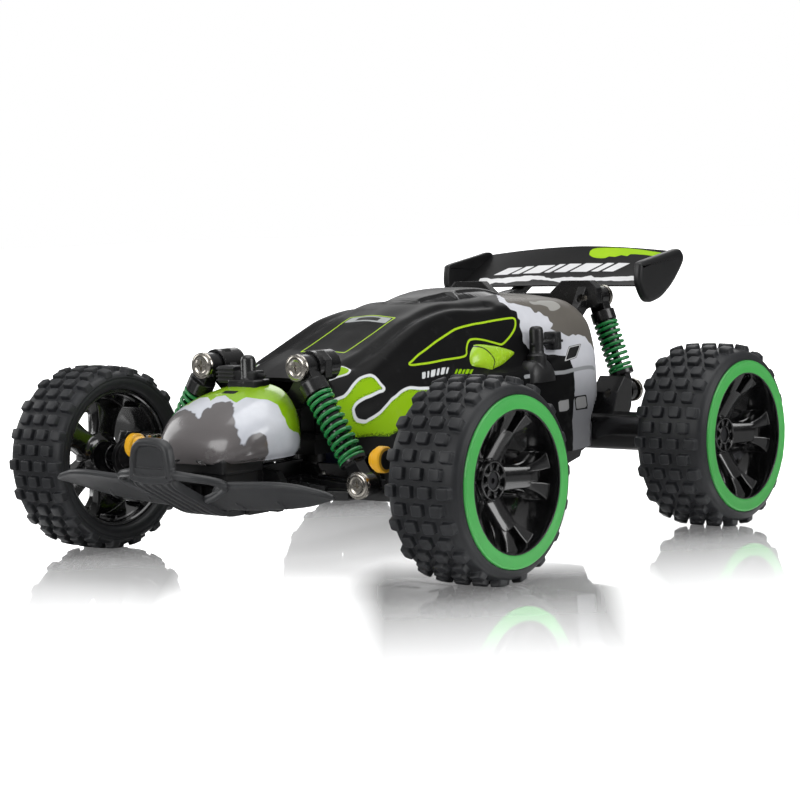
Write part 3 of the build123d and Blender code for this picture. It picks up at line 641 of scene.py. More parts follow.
LOOKS = {
    "tyre": rubber("tyre_rubber_knobbly"),
    "ring": plastic(
        "ring_green_plastic", (0.048, 0.37, 0.065), rough=0.34, drift=0.10, grain=700.0,
        bump=0.06, bevel=0.0003, wear=0.15, coat=0.15,
    ),
    "rim": plastic(
        "rim_gloss_black", (0.0035, 0.0035, 0.0040), rough=0.14, drift=0.2, grain=500.0,
        bump=0.03, bevel=0.0004, wear=0.25, coat=0.7, spec=0.6,
    ),
    "frame": plastic(
        "frame_black_plastic", (0.0062, 0.0064, 0.0070), rough=0.36, drift=0.25, grain=900.0,
        bump=0.14, bevel=0.0004,
    ),
    "frame_gloss": plastic(
        "frame_gloss_plastic", (0.0050, 0.0050, 0.0055), rough=0.24, drift=0.2, grain=700.0,
        bump=0.06, bevel=0.0005, wear=0.25, coat=0.25,
    ),
    "bumper": plastic(
        "bumper_charcoal", (0.021, 0.022, 0.024), rough=0.40, drift=0.14, grain=1100.0,
        bump=0.16, bevel=0.0005, wear=0.25,
    ),
    # yellow knuckles, with painted shade on their hub ends and feet
    "yellow": plastic(
        "knuckle_yellow", (0.83, 0.42, 0.006), rough=0.30, drift=0.10, grain=600.0,
        bump=0.06, bevel=0.0005, wear=0.2, coat=0.2, repaint=painted_shade_ends,
    ),
    "spring": plastic(
        "spring_green_coat", (0.008, 0.215, 0.045), rough=0.26, drift=0.16, grain=500.0,
        bump=0.05, bevel=0.0, wear=0.0, coat=0.4,
    ),
    "nylon": plastic(
        "gear_nylon", (0.72, 0.70, 0.64), rough=0.45, drift=0.08, grain=600.0, bump=0.1
    ),
    "dark_steel": metal("steel_blackened", (0.085, 0.085, 0.09), rough=0.32),
    "steel": metal("steel_plain", (0.56, 0.56, 0.57), rough=0.28),
    "screw": metal("screw_plated", (0.50, 0.47, 0.42), rough=0.17, brush=(3, 3, 3)),
    "brass": metal("brass_plain", (0.78, 0.53, 0.19), rough=0.25),
    "battery": plastic(
        "battery_wrap_blue", (0.006, 0.012, 0.048), rough=0.3, drift=0.15, grain=500.0, bump=0.05
    ),
    "board": plastic(
        "board_green", (0.01, 0.13, 0.045), rough=0.4, drift=0.2, grain=500.0, bump=0.08
    ),
}

# ---------------------------------------------------------------- body surface
# y, then (x, z) of the section from the lower edge to the centre line
BODY_STATIONS = [
    (-73.0, [(30.0, 43.0), (31.6, 49.0), (30.8, 54.5), (28.6, 58.4), (25.6, 61.6),
             (20.4, 64.8), (14.0, 66.4), (7.0, 66.9), (0, 67.0)]),
    (-60.0, [(34.0, 39.0), (36.0, 47.5), (35.2, 55.0), (32.8, 60.2), (29.2, 64.8),
             (23.6, 69.2), (17.0, 71.0), (9.5, 70.8), (0, 71.2)]),
    (-46.0, [(35.5, 35.5), (37.5, 47.0), (36.9, 57.0), (34.6, 63.4), (31.2, 69.0),
             (25.6, 74.4), (18.6, 75.8), (10.4, 75.2), (0, 75.8)]),
    (-30.0, [(36.0, 33.0), (38.0, 47.0), (38.0, 58.4), (35.4, 65.6), (32.0, 72.4),
             (26.2, 80.2), (19.2, 82.0), (11.0, 81.2), (0, 81.8)]),
    (-16.0, [(36.0, 31.5), (38.2, 47.0), (38.6, 59.4), (35.6, 66.4), (32.2, 75.0),
             (26.6, 84.4), (19.4, 86.8), (11.2, 86.4), (0, 87.2)]),
    (5.0, [(36.5, 29.5), (38.8, 46.0), (39.6, 60.2), (35.6, 65.6), (32.4, 76.2),
           (26.6, 86.8), (19.4, 90.4), (11.2, 90.9), (0, 91.5)]),
    (30.0, [(37.8, 28.5), (40.2, 46.0), (41.4, 60.6), (36.4, 65.2), (33.2, 77.0),
            (27.0, 86.8), (19.4, 90.2), (11.2, 90.9), (0, 91.4)]),
    (42.0, [(38.8, 28.4), (41.4, 46.0), (42.4, 61.0), (38.6, 66.4), (35.6, 77.2),
            (28.4, 86.4), (19.8, 89.6), (11.2, 90.3), (0, 90.8)]),
    (52.0, [(39.8, 28.6), (42.4, 46.0), (43.0, 61.6), (41.6, 69.4), (38.4, 78.0),
            (30.2, 85.8), (20.4, 88.8), (11.2, 89.5), (0, 89.9)]),
    (64.0, [(41.0, 29.4), (43.4, 46.0), (43.5, 62.0), (42.4, 71.0), (39.4, 79.4),
            (31.4, 85.8), (21.2, 87.8), (11.2, 88.5), (0, 88.8)]),
    (68.4, [(40.0, 30.0), (42.3, 46.0), (42.4, 62.0), (41.2, 70.6), (38.2, 78.6),
            (30.6, 84.6), (20.8, 86.5), (11.0, 87.1), (0, 87.4)]),
    (70.8, [(37.8, 30.4), (39.9, 46.0), (40.0, 61.8), (38.8, 69.8), (36.0, 77.0),
            (29.2, 82.6), (20.0, 84.3), (10.6, 84.9), (0, 85.2)]),
]
BODY_THICK = 1.4
BODY_Y = np.unique(
    np.round(np.concatenate([np.arange(-73.0, 64.0, 0.75), np.arange(64.0, 70.8, 0.5), [70.8]]), 4)
)

# Body chart: (y, arc length out from the centre line round the section), all in mm.
# The bonnet and cabin stand proud of the flanks: a valley beside them, then a shoulder.
RIDGE = [
    (-58.0, 30.5), (-47.2, 29.2), (-42.2, 28.4), (-36.5, 27.8), (-26.6, 26.8), (-15.9, 26.2),
    (-7.3, 26.0), (1.8, 26.4), (13.3, 27.2), (23.0, 28.0), (29.7, 28.9),
]
VALLEY = [
    (-56.0, 22.8), (-38.8, 21.7), (-30.1, 20.8), (-22.7, 20.6), (-12.3, 20.4), (-4.2, 21.2),
    (2.5, 22.3), (11.5, 23.8), (22.0, 25.0),
]
# y, height change of the upper body there
SETTLE = [(-73, 0), (-60, -0.5), (-45, -1.25), (12, -1.3), (36, -0.1), (58, 0.9), (70, 0.5)]


def body_surface():
    """Outer skin grid and the signed arc length (positive on +X) of its points."""
    flat = full_grid(half_grid(BODY_STATIONS, BODY_Y, per=13))
    step = np.linalg.norm(np.diff(flat[:, :, [0, 2]], axis=1), axis=2)
    along = np.concatenate([np.zeros((len(flat), 1)), np.cumsum(step, axis=1)], axis=1)
    middle = flat.shape[1] // 2
    arc = along[:, middle : middle + 1] - along
    y, z = flat[:, :, 1], flat[:, :, 2]
    chart = np.stack([y.reshape(-1), np.abs(arc).reshape(-1)], axis=1)
    to_valley = path_distance(smooth_path(VALLEY, 4), chart).reshape(y.shape)
    to_ridge = path_distance(smooth_path(RIDGE, 4), chart).reshape(y.shape)
    push = -1.45 * np.exp(-((to_valley / 2.9) ** 2)) + 0.75 * np.exp(-((to_ridge / 2.6) ** 2))
    # settle the bonnet slightly and lift the tail, fading in between z = 58 and 80
    settle = np.interp(y, *zip(*SETTLE)) * smoothstep(np.clip((z - 58.0) / 22.0, 0, 1))
    grid = flat + grid_normals(flat) * push[:, :, None]
    grid[:, :, 2] += settle
    grid[:, :, 1] = y
    return grid, arc


BODY_GRID, BODY_ARC = body_surface()
BODY_NORMALS = grid_normals(BODY_GRID)


def body_height(y, x):
    """Height of the outer skin at (x, y)."""
    row = np.argmin(np.abs(BODY_Y - y))
    section = BODY_GRID[row, : BODY_GRID.shape[1] // 2 + 1]
    upper = section[section[:, 2] > 55][::-1]
    return np.interp(np.abs(x), upper[:, 0], upper[:, 2])


def body_point(y, s, lift):
    """Point of the outer skin at chart (y, s), raised along its normal."""
    row = int(np.argmin(np.abs(BODY_Y - y)))
    arc = BODY_ARC[row]
    col = int(np.argmin(np.abs(arc - s)))
    near = col + 1 if arc[col] > s else col - 1
    t = (s - arc[col]) / (arc[near] - arc[col])
    p = BODY_GRID[row, col] * (1 - t) + BODY_GRID[row, near] * t
    return p + np.array([0, y - BODY_Y[row], 0]) + BODY_NORMALS[row, col] * lift


# ---------------------------------------------------------------- painted body shell
# Outlines in the body chart (y, arc length)
WINDOW = [
    (-36.0, 36.4), (-33.4, 36.1), (-29.6, 35.5), (-25.0, 35.4), (-20.3, 35.1), (-15.0, 34.5),
    (-9.5, 33.8), (-5.5, 33.3), (-1.6, 33.2), (3.4, 33.1), (8.5, 32.8), (18.3, 32.8),
    (27.9, 33.2), (31.0, 33.7), (31.2, 34.8), (29.5, 37.2), (26.4, 39.4), (22.4, 41.4),
    (18.5, 42.8), (14.9, 41.7), (10.2, 40.1), (5.4, 39.0), (1.2, 38.8), (-0.8, 39.7),
    (-2.7, 41.7), (-4.7, 44.4), (-12.9, 43.6), (-22.2, 41.8), (-30.9, 39.0), (-34.9, 37.5),
]
BONNET = [(-46.0, -10.6), (-16.5, -10.9), (-16.5, 10.9), (-46.0, 10.6)]
BONNET_STRIP = [(-17.2, -9.6), (-17.2, 9.6), (-21.6, 10.2), (-21.6, -10.2)]
BONNET_PLATE = [(-17.8, -5.6), (-17.8, 5.6), (-20.8, 5.6), (-20.8, -5.6)]
FLAME_TOP = [
    (-74.0, 29.6), (-71.3, 30.2), (-70.1, 30.6), (-68.4, 31.1), (-66.2, 30.9), (-64.2, 30.4),
    (-62.0, 29.9), (-59.8, 29.7), (-58.0, 30.1), (-56.3, 30.7), (-55.1, 31.3), (-54.2, 32.1),
    (-53.7, 32.8), (-53.2, 34.2), (-53.0, 36.1), (-52.3, 38.5), (-53.4, 38.9), (-54.6, 38.4),
    (-56.9, 37.9), (-59.3, 37.4), (-61.7, 36.7), (-64.0, 36.3), (-65.8, 36.2), (-67.1, 36.6),
    (-67.8, 37.2), (-68.0, 38.5), (-67.9, 39.8), (-67.3, 41.3), (-66.6, 42.0), (-65.6, 42.9),
    (-64.2, 43.9), (-62.8, 44.1), (-60.5, 44.5), (-57.4, 44.7), (-55.3, 44.4), (-53.1, 44.1),
    (-50.8, 43.7), (-48.5, 43.8), (-46.1, 43.6), (-43.9, 43.7), (-41.7, 44.1), (-39.7, 44.9),
    (-35.9, 47.0), (-30.0, 49.6), (-24.0, 53.0),
]
FLAME_LOW = [
    (-34.0, 56.0), (-44.0, 56.6), (-54.0, 55.2), (-67.2, 47.5), (-70.2, 45.0), (-74.0, 43.5),
]
SMALL_FLAME = [
    (-68.3, 22.0), (-66.1, 20.4), (-63.5, 18.6), (-60.8, 18.6), (-59.2, 20.1), (-58.0, 21.9),
    (-57.9, 23.1), (-58.8, 24.3), (-60.8, 25.0), (-62.9, 24.4), (-65.1, 23.4), (-68.0, 22.4),
    (-71.0, 22.0),
]
STRIPE = [(23.0, 58.8), (37.7, 59.4), (53.1, 60.5), (66.0, 61.7)]
TAIL_EDGE = [
    (42.6, -2.0), (42.4, 6.0), (42.1, 14.1), (36.0, 19.5), (30.1, 24.8), (30.9, 27.5),
    (31.4, 29.9), (34.5, 31.2), (33.1, 33.9), (33.9, 35.4), (32.0, 37.6), (32.0, 40.2),
    (31.1, 44.1), (34.0, 47.5), (39.5, 50.7), (44.9, 52.2), (48.6, 54.1), (50.6, 56.1),
    (52.3, 60.3), (52.6, 64.3), (52.9, 68.3), (52.2, 74.0), (52.0, 79.9), (53.7, 87.3),
    (54.5, 100.0),
]
TAIL_GREY_EDGE = [
    (50.5, -2.0), (47.5, 6.0), (43.5, 13.5), (37.6, 20.8), (33.9, 26.2), (37.6, 27.9),
    (40.1, 29.5), (42.9, 31.0), (42.9, 34.0), (45.3, 33.6), (46.2, 36.4), (47.6, 37.3),
    (47.0, 39.6), (48.1, 40.6), (45.7, 42.2), (47.8, 44.3), (49.4, 44.8), (51.7, 47.1),
    (57.9, 48.2), (62.1, 49.6), (63.8, 52.0), (66.5, 53.5),
]
TAIL_PATCH = [
    (45.8, 27.6), (48.7, 28.6), (52.2, 28.4), (56.8, 29.9), (58.3, 32.0), (57.5, 35.0),
    (53.3, 35.8), (50.8, 34.9), (51.5, 33.1), (49.1, 30.9), (45.6, 29.9),
]
# painted shade on the rear corner, where the tail turns away from the light
SHADED_CORNER = [
    (69.5, 70.0), (66.5, 76.0), (65.4, 79.1), (63.2, 83.1), (65.9, 86.0), (67.0, 90.5),
    (68.0, 96.0), (90, 96), (90, 70),
]
TAG = [(47.0, 56.2), (51.6, 51.3), (58.9, 51.9), (54.4, 56.3)]
FRONT_BLOCK = [(42.4, 70.3), (49.4, 70.7), (50.1, 75.9), (43.6, 75.3)]
REAR_BLOCK = [(52.6, 71.0), (59.6, 71.8), (60.8, 77.2), (53.9, 76.4)]
# corners of the flank strip that carries slanted bars: two ends of each long edge
BAR_EDGE_A = np.array([(-35.3, 40.9), (2.1, 50.3)])
BAR_EDGE_B = np.array([(-35.1, 45.7), (-3.3, 54.9)])
BAR_SLANT = 0.035


def slanted_bars(start, widths, gap, lo, hi, chart):
    """Row of bars on the flank strip; all sizes are shares of its length or width."""
    best = np.full(len(chart), -FAR)
    for width in widths:
        corners = (
            (start, hi), (start + width, hi),
            (start + width + BAR_SLANT, lo), (start + BAR_SLANT, lo),
        )
        bar = []
        for u, v in corners:
            a = BAR_EDGE_A[0] + (BAR_EDGE_A[1] - BAR_EDGE_A[0]) * u
            b = BAR_EDGE_B[0] + (BAR_EDGE_B[1] - BAR_EDGE_B[0]) * u
            bar.append(a * (1 - v) + b * v)
        best = np.maximum(best, depth_in(bar, chart))
        start += width + gap
    return best


def body_fields():
    """Painted distances of the outer skin, by attribute name."""
    y = BODY_GRID[:, :, 1].reshape(-1)
    signed = np.stack([y, BODY_ARC.reshape(-1)], axis=1)
    chart = np.abs(signed * [0, 1]) + signed * [1, 0]
    tail = [*ragged(TAIL_EDGE, 0.35, 1.2, seed=3), (90, 100.0), (90, -2.0)]
    tail_grey = [*ragged(TAIL_GREY_EDGE, 0.5, 1.2, seed=4), (90, 53.5), (90, -2.0)]
    blocks = np.maximum(depth_in(FRONT_BLOCK, chart), depth_in(REAR_BLOCK, chart))
    tag_centre = np.array(TAG).mean(0)
    white_bars = (0.055, 0.03, 0.07, 0.04, 0.06, 0.03)
    lime_bars = (0.03, 0.045, 0.03, 0.05, 0.035)
    return {
        "window": depth_in(smooth_path(WINDOW, 4, True), chart),
        "hood": depth_in(BONNET, signed),
        "plate": depth_in(BONNET_PLATE, signed) - 0.2,
        "strip": depth_in(BONNET_STRIP, signed),
        "flare": depth_in(FLAME_TOP + FLAME_LOW, chart),
        "flare_line": 0.55 - path_distance(smooth_path(FLAME_TOP, 4), chart),
        "small": depth_in(smooth_path(SMALL_FLAME, 4, True), chart),
        "small_line": 0.42 - path_distance(smooth_path(SMALL_FLAME[1:12], 4), chart),
        "stripe": 0.75 - path_distance(smooth_path(STRIPE, 3), chart),
        "tail": depth_in(tail, chart),
        "tailgrey": depth_in(tail_grey, chart),
        "patch": depth_in(smooth_path(TAIL_PATCH, 3, True), chart),
        "corner_shade": depth_in(SHADED_CORNER, chart),
        "tag": depth_in(TAG, chart),
        "barw": slanted_bars(0.06, white_bars, gap=0.028, lo=0.10, hi=0.62, chart=chart),
        "barg": slanted_bars(0.60, lime_bars, gap=0.022, lo=0.26, hi=0.66, chart=chart),
        "block": blocks - 0.35,
        "tagbar": depth_in([tag_centre + (np.array(p) - tag_centre) * 0.55 for p in TAG], chart),
    }


def body_paint():
    t = Paint("body_painted_shell")
    outer = t.math("GREATER_THAN", t.attr("skin"), 0.5)
    drift = t.noise(scale=18.0, detail=4.0)
    black, soft_black = (0.0058, 0.0058, 0.0062), (0.0092, 0.0092, 0.0094)
    colour = t.mix(t.ramp(drift, 0.3, 0.7), black, soft_black)
    # lime flames with darker speckled borders and white lines
    speckle = t.voronoi(scale=2400.0)
    flame = t.attr("flare")
    dots = t.math("LESS_THAN", speckle, t.ramp(flame, 0.2, 2.3, start=0.62, end=0.0))
    lime = t.lime()
    speckled = t.mix(t.mul(dots, 0.85), lime, (0.030, 0.060, 0.004))
    colour = t.mix(t.mask(flame, soft=0.1), colour, speckled)
    colour = t.paint(colour, "small", lime, soft=0.1)
    white = (0.80, 0.82, 0.84)
    colour = t.paint(colour, "flare_line", white)
    colour = t.paint(colour, "small_line", white)
    # window: darker inside, lime outline
    window = t.attr("window")
    colour = t.mix(t.mul(t.mask(window, soft=0.2), 0.55), colour, (0.0062, 0.0064, 0.0066))
    colour = t.mix(t.mask(t.line(window, half_width=0.40), soft=0.13), colour, LIME_LINE)
    # bonnet strip, plate and outline
    colour = t.paint(colour, "strip", (0.40, 0.42, 0.42), soft=0.1)
    colour = t.paint(colour, "plate", (0.02, 0.02, 0.02), soft=0.1)
    colour = t.mix(t.mask(t.line(t.attr("hood"), half_width=0.30)), colour, LIME_LINE)
    # tail: silver band with painted shade darkening it downwards, warm grey behind it, and painted
    # shade on the rear corner
    silver = t.mottle((0.58, 0.59, 0.63), (0.74, 0.75, 0.79), 30.0, detail=5.0, lo=0.35, hi=0.65)
    # painted shade: the silver runs dark towards the bottom of the tail
    high = t.ramp(t.attr("height"), 44.0, 66.0, start=0.30, end=1.0)
    silver = t.mix(high, (0.10, 0.10, 0.105), silver)
    warm = t.mottle((0.115, 0.105, 0.092), (0.150, 0.138, 0.122), scale=26.0, detail=4.0)
    tail = t.paint(silver, "tailgrey", warm)
    tail = t.paint(tail, "patch", (0.34, 0.335, 0.315), soft=0.15)
    # painted shade: dark grey over the rear corner
    tail = t.paint(tail, "corner_shade", (0.045, 0.046, 0.05))
    colour = t.paint(colour, "tail", tail)
    colour = t.paint(colour, "stripe", (0.30, 0.31, 0.32))
    # dark tag with a pale line just inside its edge
    tag = t.attr("tag")
    colour = t.mix(t.mask(tag, soft=0.1), colour, (0.02, 0.02, 0.02))
    tag_line = t.line(t.sub(tag, 0.35), half_width=0.16)
    colour = t.mix(t.mask(tag_line, soft=0.08), colour, (0.6, 0.6, 0.6))
    # slanted bars low on the flank, and two bordered blocks ahead of the rear corner
    colour = t.paint(colour, "barw", (0.70, 0.72, 0.72), soft=0.1)
    colour = t.paint(colour, "barg", LIME, soft=0.1)
    blocks = t.attr("block")
    colour = t.mix(t.mask(t.add(blocks, 0.55), soft=0.1), colour, (0.012, 0.012, 0.012))
    colour = t.mix(t.mask(blocks, soft=0.1), colour, (0.30, 0.30, 0.30))
    haze = t.haze()
    colour = t.mix(t.mul(haze, 0.035), colour, (0.5, 0.5, 0.5))
    colour = t.mix(outer, (0.012, 0.012, 0.013), colour)
    rough = t.add(t.ramp(drift, 0.3, 0.7, 0.33, 0.39), t.mul(haze, 0.10))
    rough = t.sub(rough, t.mul(t.mask(t.attr("tail")), 0.08))
    return t.finish(colour, rough, t.paint_grain(), coat_rough=0.16, spec=0.06)


ARCH_R = 9.4
ARCH_CENTRES = ((HALF_WHEELBASE, AXLE_Z), (72.8, 40.2))  # y, z
ARCH_MIN_X = 33


def in_arch(face):
    centre = face.calc_center_median() * (1 / MM)
    y, z = centre.y - SHIFT_Y, centre.z
    near = any(math.hypot(y - ay, z - az) < ARCH_R for ay, az in ARCH_CENTRES)
    return near and abs(centre.x) > ARCH_MIN_X


def cut_arches(mesh, outer_count):
    """Open the shell round the rear axle tubes and close the cut rim."""
    bm = bmesh.new()
    bm.from_mesh(mesh)
    bmesh.ops.delete(bm, geom=[f for f in bm.faces if in_arch(f)], context="FACES")
    rim = [e for e in bm.edges if e.is_boundary]
    by_index = {v.index: v for v in bm.verts}
    for edge in rim:
        a, b = edge.verts
        twin_a = by_index.get(a.index + outer_count)
        twin_b = by_index.get(b.index + outer_count)
        if a.index < outer_count and b.index < outer_count and twin_a and twin_b:
            # guards against a rim face that already exists
            try:
                bm.faces.new((a, b, twin_b, twin_a))
            except ValueError:
                pass
    bmesh.ops.recalc_face_normals(bm, faces=bm.faces)
    for face in bm.faces:
        face.smooth = True
    bmesh.ops.delete(bm, geom=[v for v in bm.verts if not v.link_faces], context="VERTS")
    bm.to_mesh(mesh)
    bm.free()
    mesh.update()


def body_shell():
    count = BODY_ARC.size
    height = BODY_GRID[:, :, 2].reshape(-1)
    attrs = {key: outer_only(values) for key, values in body_fields().items()}
    attrs["skin"] = skin_flag(count)
    attrs["height"] = np.concatenate([height, height])
    body = add_mesh(
        "body_skin", grid_shell(BODY_GRID, BODY_THICK), body_paint(), "chassis",
        ("body_shell",), sharp=50, attrs=attrs, recalc=False,
    )
    cut_arches(body.data, count)


# ---------------------------------------------------------------- roof scoop
# y, rise over the roof, half width of the flat top, half width of the foot
SCOOP = [
    (-5.0, -0.4, 3.0, 8.0), (-3.0, 0.1, 3.6, 11.0), (0.5, 0.7, 4.6, 15.5), (6.0, 1.7, 6.0, 20.0),
    (13.0, 2.5, 7.8, 22.4), (24.0, 2.9, 9.0, 23.2), (34.0, 2.7, 9.2, 23.0),
    (41.0, 1.9, 9.0, 21.6), (46.0, 0.7, 8.4, 19.4), (49.0, -0.3, 8.0, 18.4),
]
# pane outlines on the flank: y, and place from the top's edge (0) to the foot (8)
FRONT_PANE = [(0.0, 4.0), (2.5, 1.3), (8, 0.7), (17.5, 0.7), (15.5, 6.6), (4.0, 6.9)]
REAR_PANE = [(19.6, 0.8), (30, 0.8), (40, 1.6), (45, 4.0), (40, 6.6), (17.8, 6.8)]
PANE_DEPTH = 0.9


def scoop_paint():
    t = Paint("scoop_black_panes")
    black, soft_black = (0.0055, 0.0055, 0.0058), (0.0085, 0.0085, 0.0088)
    colour = t.mottle(black, soft_black, scale=20.0, detail=4.0)
    pane = t.mask(t.attr("pane"), soft=0.25)
    colour = t.mix(pane, colour, (0.0035, 0.0035, 0.004))
    rough = t.add(t.sub(0.36, t.mul(pane, 0.22)), t.mul(t.haze(), 0.08))
    return t.finish(colour, rough, t.paint_grain(), coat=0.06, coat_rough=0.16, spec=0.24)


def roof_scoop():
    """Broad low hump with two glossy panes on each flank, set below their frames."""
    ys = np.linspace(-5.0, 49.0, 100)
    sizes = monotone_columns([q[0] for q in SCOOP], [q[1:] for q in SCOOP], ys)
    rows, chart = [], []
    for y, (rise, top_w, foot_w) in zip(ys, sizes):
        x = foot_w * np.linspace(-1, 1, 91)
        out = np.abs(x)
        top = body_height(y, 0) + rise
        down = (out - top_w) / (foot_w - top_w)
        blend = smoothstep(down)
        foot = body_height(y, foot_w) - 0.5
        flank = (top - 0.25) * (1 - blend) + foot * blend
        z = np.where(out <= top_w, top - 0.25 * (out / top_w) ** 2, flank)
        z = np.maximum(z, body_height(y, out) - 0.6)
        rows.append(np.stack([x, np.full(len(x), y), z], axis=1))
        chart.append(np.stack([np.full(len(x), y), down * 8.0], axis=1))
    chart = np.concatenate(chart)
    panes = [depth_in(smooth_path(q, 4, True), chart) for q in (FRONT_PANE, REAR_PANE)]
    pane = outer_only(np.maximum(*panes))
    verts, faces = grid_shell(np.array(rows), 1.0)
    verts[: len(chart), 2] -= PANE_DEPTH * np.clip(pane[: len(chart)] / 0.7, 0, 1)
    add_mesh(
        "roof_scoop", (verts, faces), scoop_paint(), "chassis",
        sharp=50, attrs={"pane": pane},
    )


# ---------------------------------------------------------------- flank pods
# body chart (y, arc length)
POD = [
    (1.0, 41.6), (2.4, 40.9), (6.2, 41.1), (13.2, 42.4), (20.1, 44.5), (25.4, 47.0), (21.6, 49.1),
    (16.1, 51.0), (9.7, 52.2), (8.1, 52.5), (4.1, 51.3), (-2.6, 49.3), (-3.2, 46.4), (-1.7, 43.8),
]
POD_LINE = [(0.2, 41.2), (5.1, 43.4), (7.9, 46.1), (9.5, 49.1), (8.8, 53.0)]
POD_RINGS = 14
POD_RISE = 2.1


def pod_paint():
    t = Paint("pod_lime_gloss")
    lime = t.mottle((0.36, 0.62, 0.012), (0.44, 0.70, 0.03), scale=60.0, lo=0.35)
    colour = t.paint(lime, "line", (0.010, 0.012, 0.008))
    rough = t.ramp(t.haze(scale=110.0, detail=5.0, lo=0.55), 0, 1, 0.26, 0.38)
    normal = t.paint_grain(scale=800.0, soft_edges=False)
    return t.finish(colour, rough, normal, coat=0.4, coat_rough=0.1)


def flank_pods():
    """Lime bulges split by a black line."""
    mat = pod_paint()
    outline = smooth_path(POD, 6, True)
    centre = outline.mean(0)
    n = len(outline)
    chart, lifts = [], []
    for ring in range(POD_RINGS):
        share = 1 - ring / POD_RINGS
        chart.extend(centre + (outline - centre) * share)
        sunk = 0.5 if ring == 0 else 0
        lifts.extend([POD_RISE * (1 - share**3.2) - sunk] * n)
    # the crown, and a point under the skin that closes the pod
    chart.extend([centre, centre])
    lifts.extend([POD_RISE, -1.0])
    line = 0.32 - path_distance(smooth_path(POD_LINE, 6), np.array(chart))
    line[-1] = -1.0
    verts = np.array([body_point(*p, lift) for p, lift in zip(chart, lifts)])
    crown_at = POD_RINGS * n
    faces = loop_faces(POD_RINGS, n)[:-2]
    faces += [(crown_at - n + k, crown_at - n + (k + 1) % n, crown_at) for k in range(n)]
    faces += [((k + 1) % n, k, crown_at + 1) for k in range(n)]
    for side, s in SIDES:
        add_mesh(
            f"flank_pod_{side}", placed((verts, faces), scale=(s, 1, 1)), mat, "chassis",
            sharp=45, attrs={"line": line},
        )


# ---------------------------------------------------------------- clip posts and clips
POST_X, POST_Y = 39.0, 33.6
# r, z
SIDE_POST = [
    (0, 58.5), (3.9, 58.5), (3.7, 67.6), (2.9, 68.4), (2.75, 69.5), (2.7, 77.0), (2.4, 78.1),
    (1.6, 78.7), (0, 78.85),
]
CENTRE_POST = [
    (0, 58.0), (3.4, 58.0), (3.3, 64.0), (2.6, 65.0), (2.4, 66.0), (2.38, 73.6), (2.1, 74.7),
    (1.4, 75.2), (0, 75.35),
]
# x, y about the pad's centre, 1 mm inboard of the post
POST_PAD = [
    (-6.0, -7.4), (0, -8.8), (4.4, -7.0), (5.6, 0), (4.6, 7.0), (0, 8.6), (-6.2, 7.2), (-7.0, 0),
]
# z, share of the pad outline
POST_PAD_LEVELS = [
    (57.5, 1.0), (60.0, 0.97), (62.0, 0.90), (63.8, 0.78), (65.0, 0.66), (65.6, 0.56), (65.8, 0.42),
]


def clip_posts():
    parts = []
    pad = smooth_path(POST_PAD, 6, True)
    for s in (1, -1):
        parts.append(placed(lathe(SIDE_POST, 32), (s * POST_X, POST_Y, 0)))
        loops = []
        for z, share in POST_PAD_LEVELS:
            x = s * (POST_X - 1.0 + pad[:, 0] * share)
            loops.append(np.stack([x, POST_Y + pad[:, 1] * share, np.full(len(pad), z)], axis=1))
        parts.append(loft(loops))
    parts.append(placed(lathe(CENTRE_POST, 32), (0.0, -85.3, 0)))
    add_mesh("clip_posts", joined(parts), LOOKS["frame"], "chassis")


def clip(width, length):
    """Ribbed grip block across x, with a straight pin and a bent pin running to +y."""
    half = width / 2
    parts = [
        block((-half, half), (-0.9, 0.9), (-1.9, 1.9), bevel=0.45, seg=3),
        block((-half + 0.5, half - 0.5), (-1.5, 1.5), (-1.3, 1.3), bevel=0.35),
    ]
    for x in np.linspace(-half + 1.2, half - 1.2, 4):
        parts.append(block((x - 0.3, x + 0.3), (-1.25, 1.25), (-2.1, 2.1), bevel=0.2))
    straight = [(0, 0.5, 0), (0, 4, 0), (0, length, 0), (0, length + 1.2, -0.2)]
    bent = [
        (width * 0.28, 0.5, 0), (width * 0.42, 3.6, 0.6),
        (width * 0.34, 6.8, 0.8), (width * 0.2, 8.4, 0.2),
    ]
    parts.append(tube(smooth_path(straight, 4), 0.62, 10))
    parts.append(tube(smooth_path(bent, 5), 0.6, 10))
    return joined(parts)


def body_clips():
    parts = []
    for s in (1, -1):
        parts.append(placed(clip(6.6, 11.5), (s * 39.4, 42.4, 71.9), (1, -1, 1)))
        grip_at = (s * 39.6, 43.4, 72.4)
        grip = block((-2.9, 2.9), (-2.0, 2.2), (-3.4, 3.6), bevel=0.7, seg=3)
        rib = block((-3.2, 3.2), (1.9, 2.7), (-0.5, 0.5), bevel=0.2)
        parts.append(placed(grip, grip_at))
        parts.append(placed(rib, grip_at))
    # the nose clip lies across the car: its grip right of the post, its pins running left
    verts, faces = clip(8.6, 15.0)
    x, y, z = verts.T
    verts = np.stack([y - 8.6, x * 0.55 - 85.6, z * 1.25 + 69.0], axis=1)
    parts.append((verts, [tuple(reversed(f)) for f in faces]))
    parts.append(block((-12.6, -4.4), (-88.6, -82.8), (66.2, 72.2), bevel=0.7, seg=3))
    parts.append(block((-4.8, 4.6), (-88.2, -82.6), (64.8, 70.6), bevel=0.8, seg=3))
    for k in range(4):
        zs = (66.9 + 1.35 * k, 67.5 + 1.35 * k)
        parts.append(block((-12.9, -4.6), (-88.95, -88.2), zs, bevel=0.15))
    add_mesh(
        "body_clip_set", joined(parts), LOOKS["frame"], "chassis", ("body_clips",)
    )


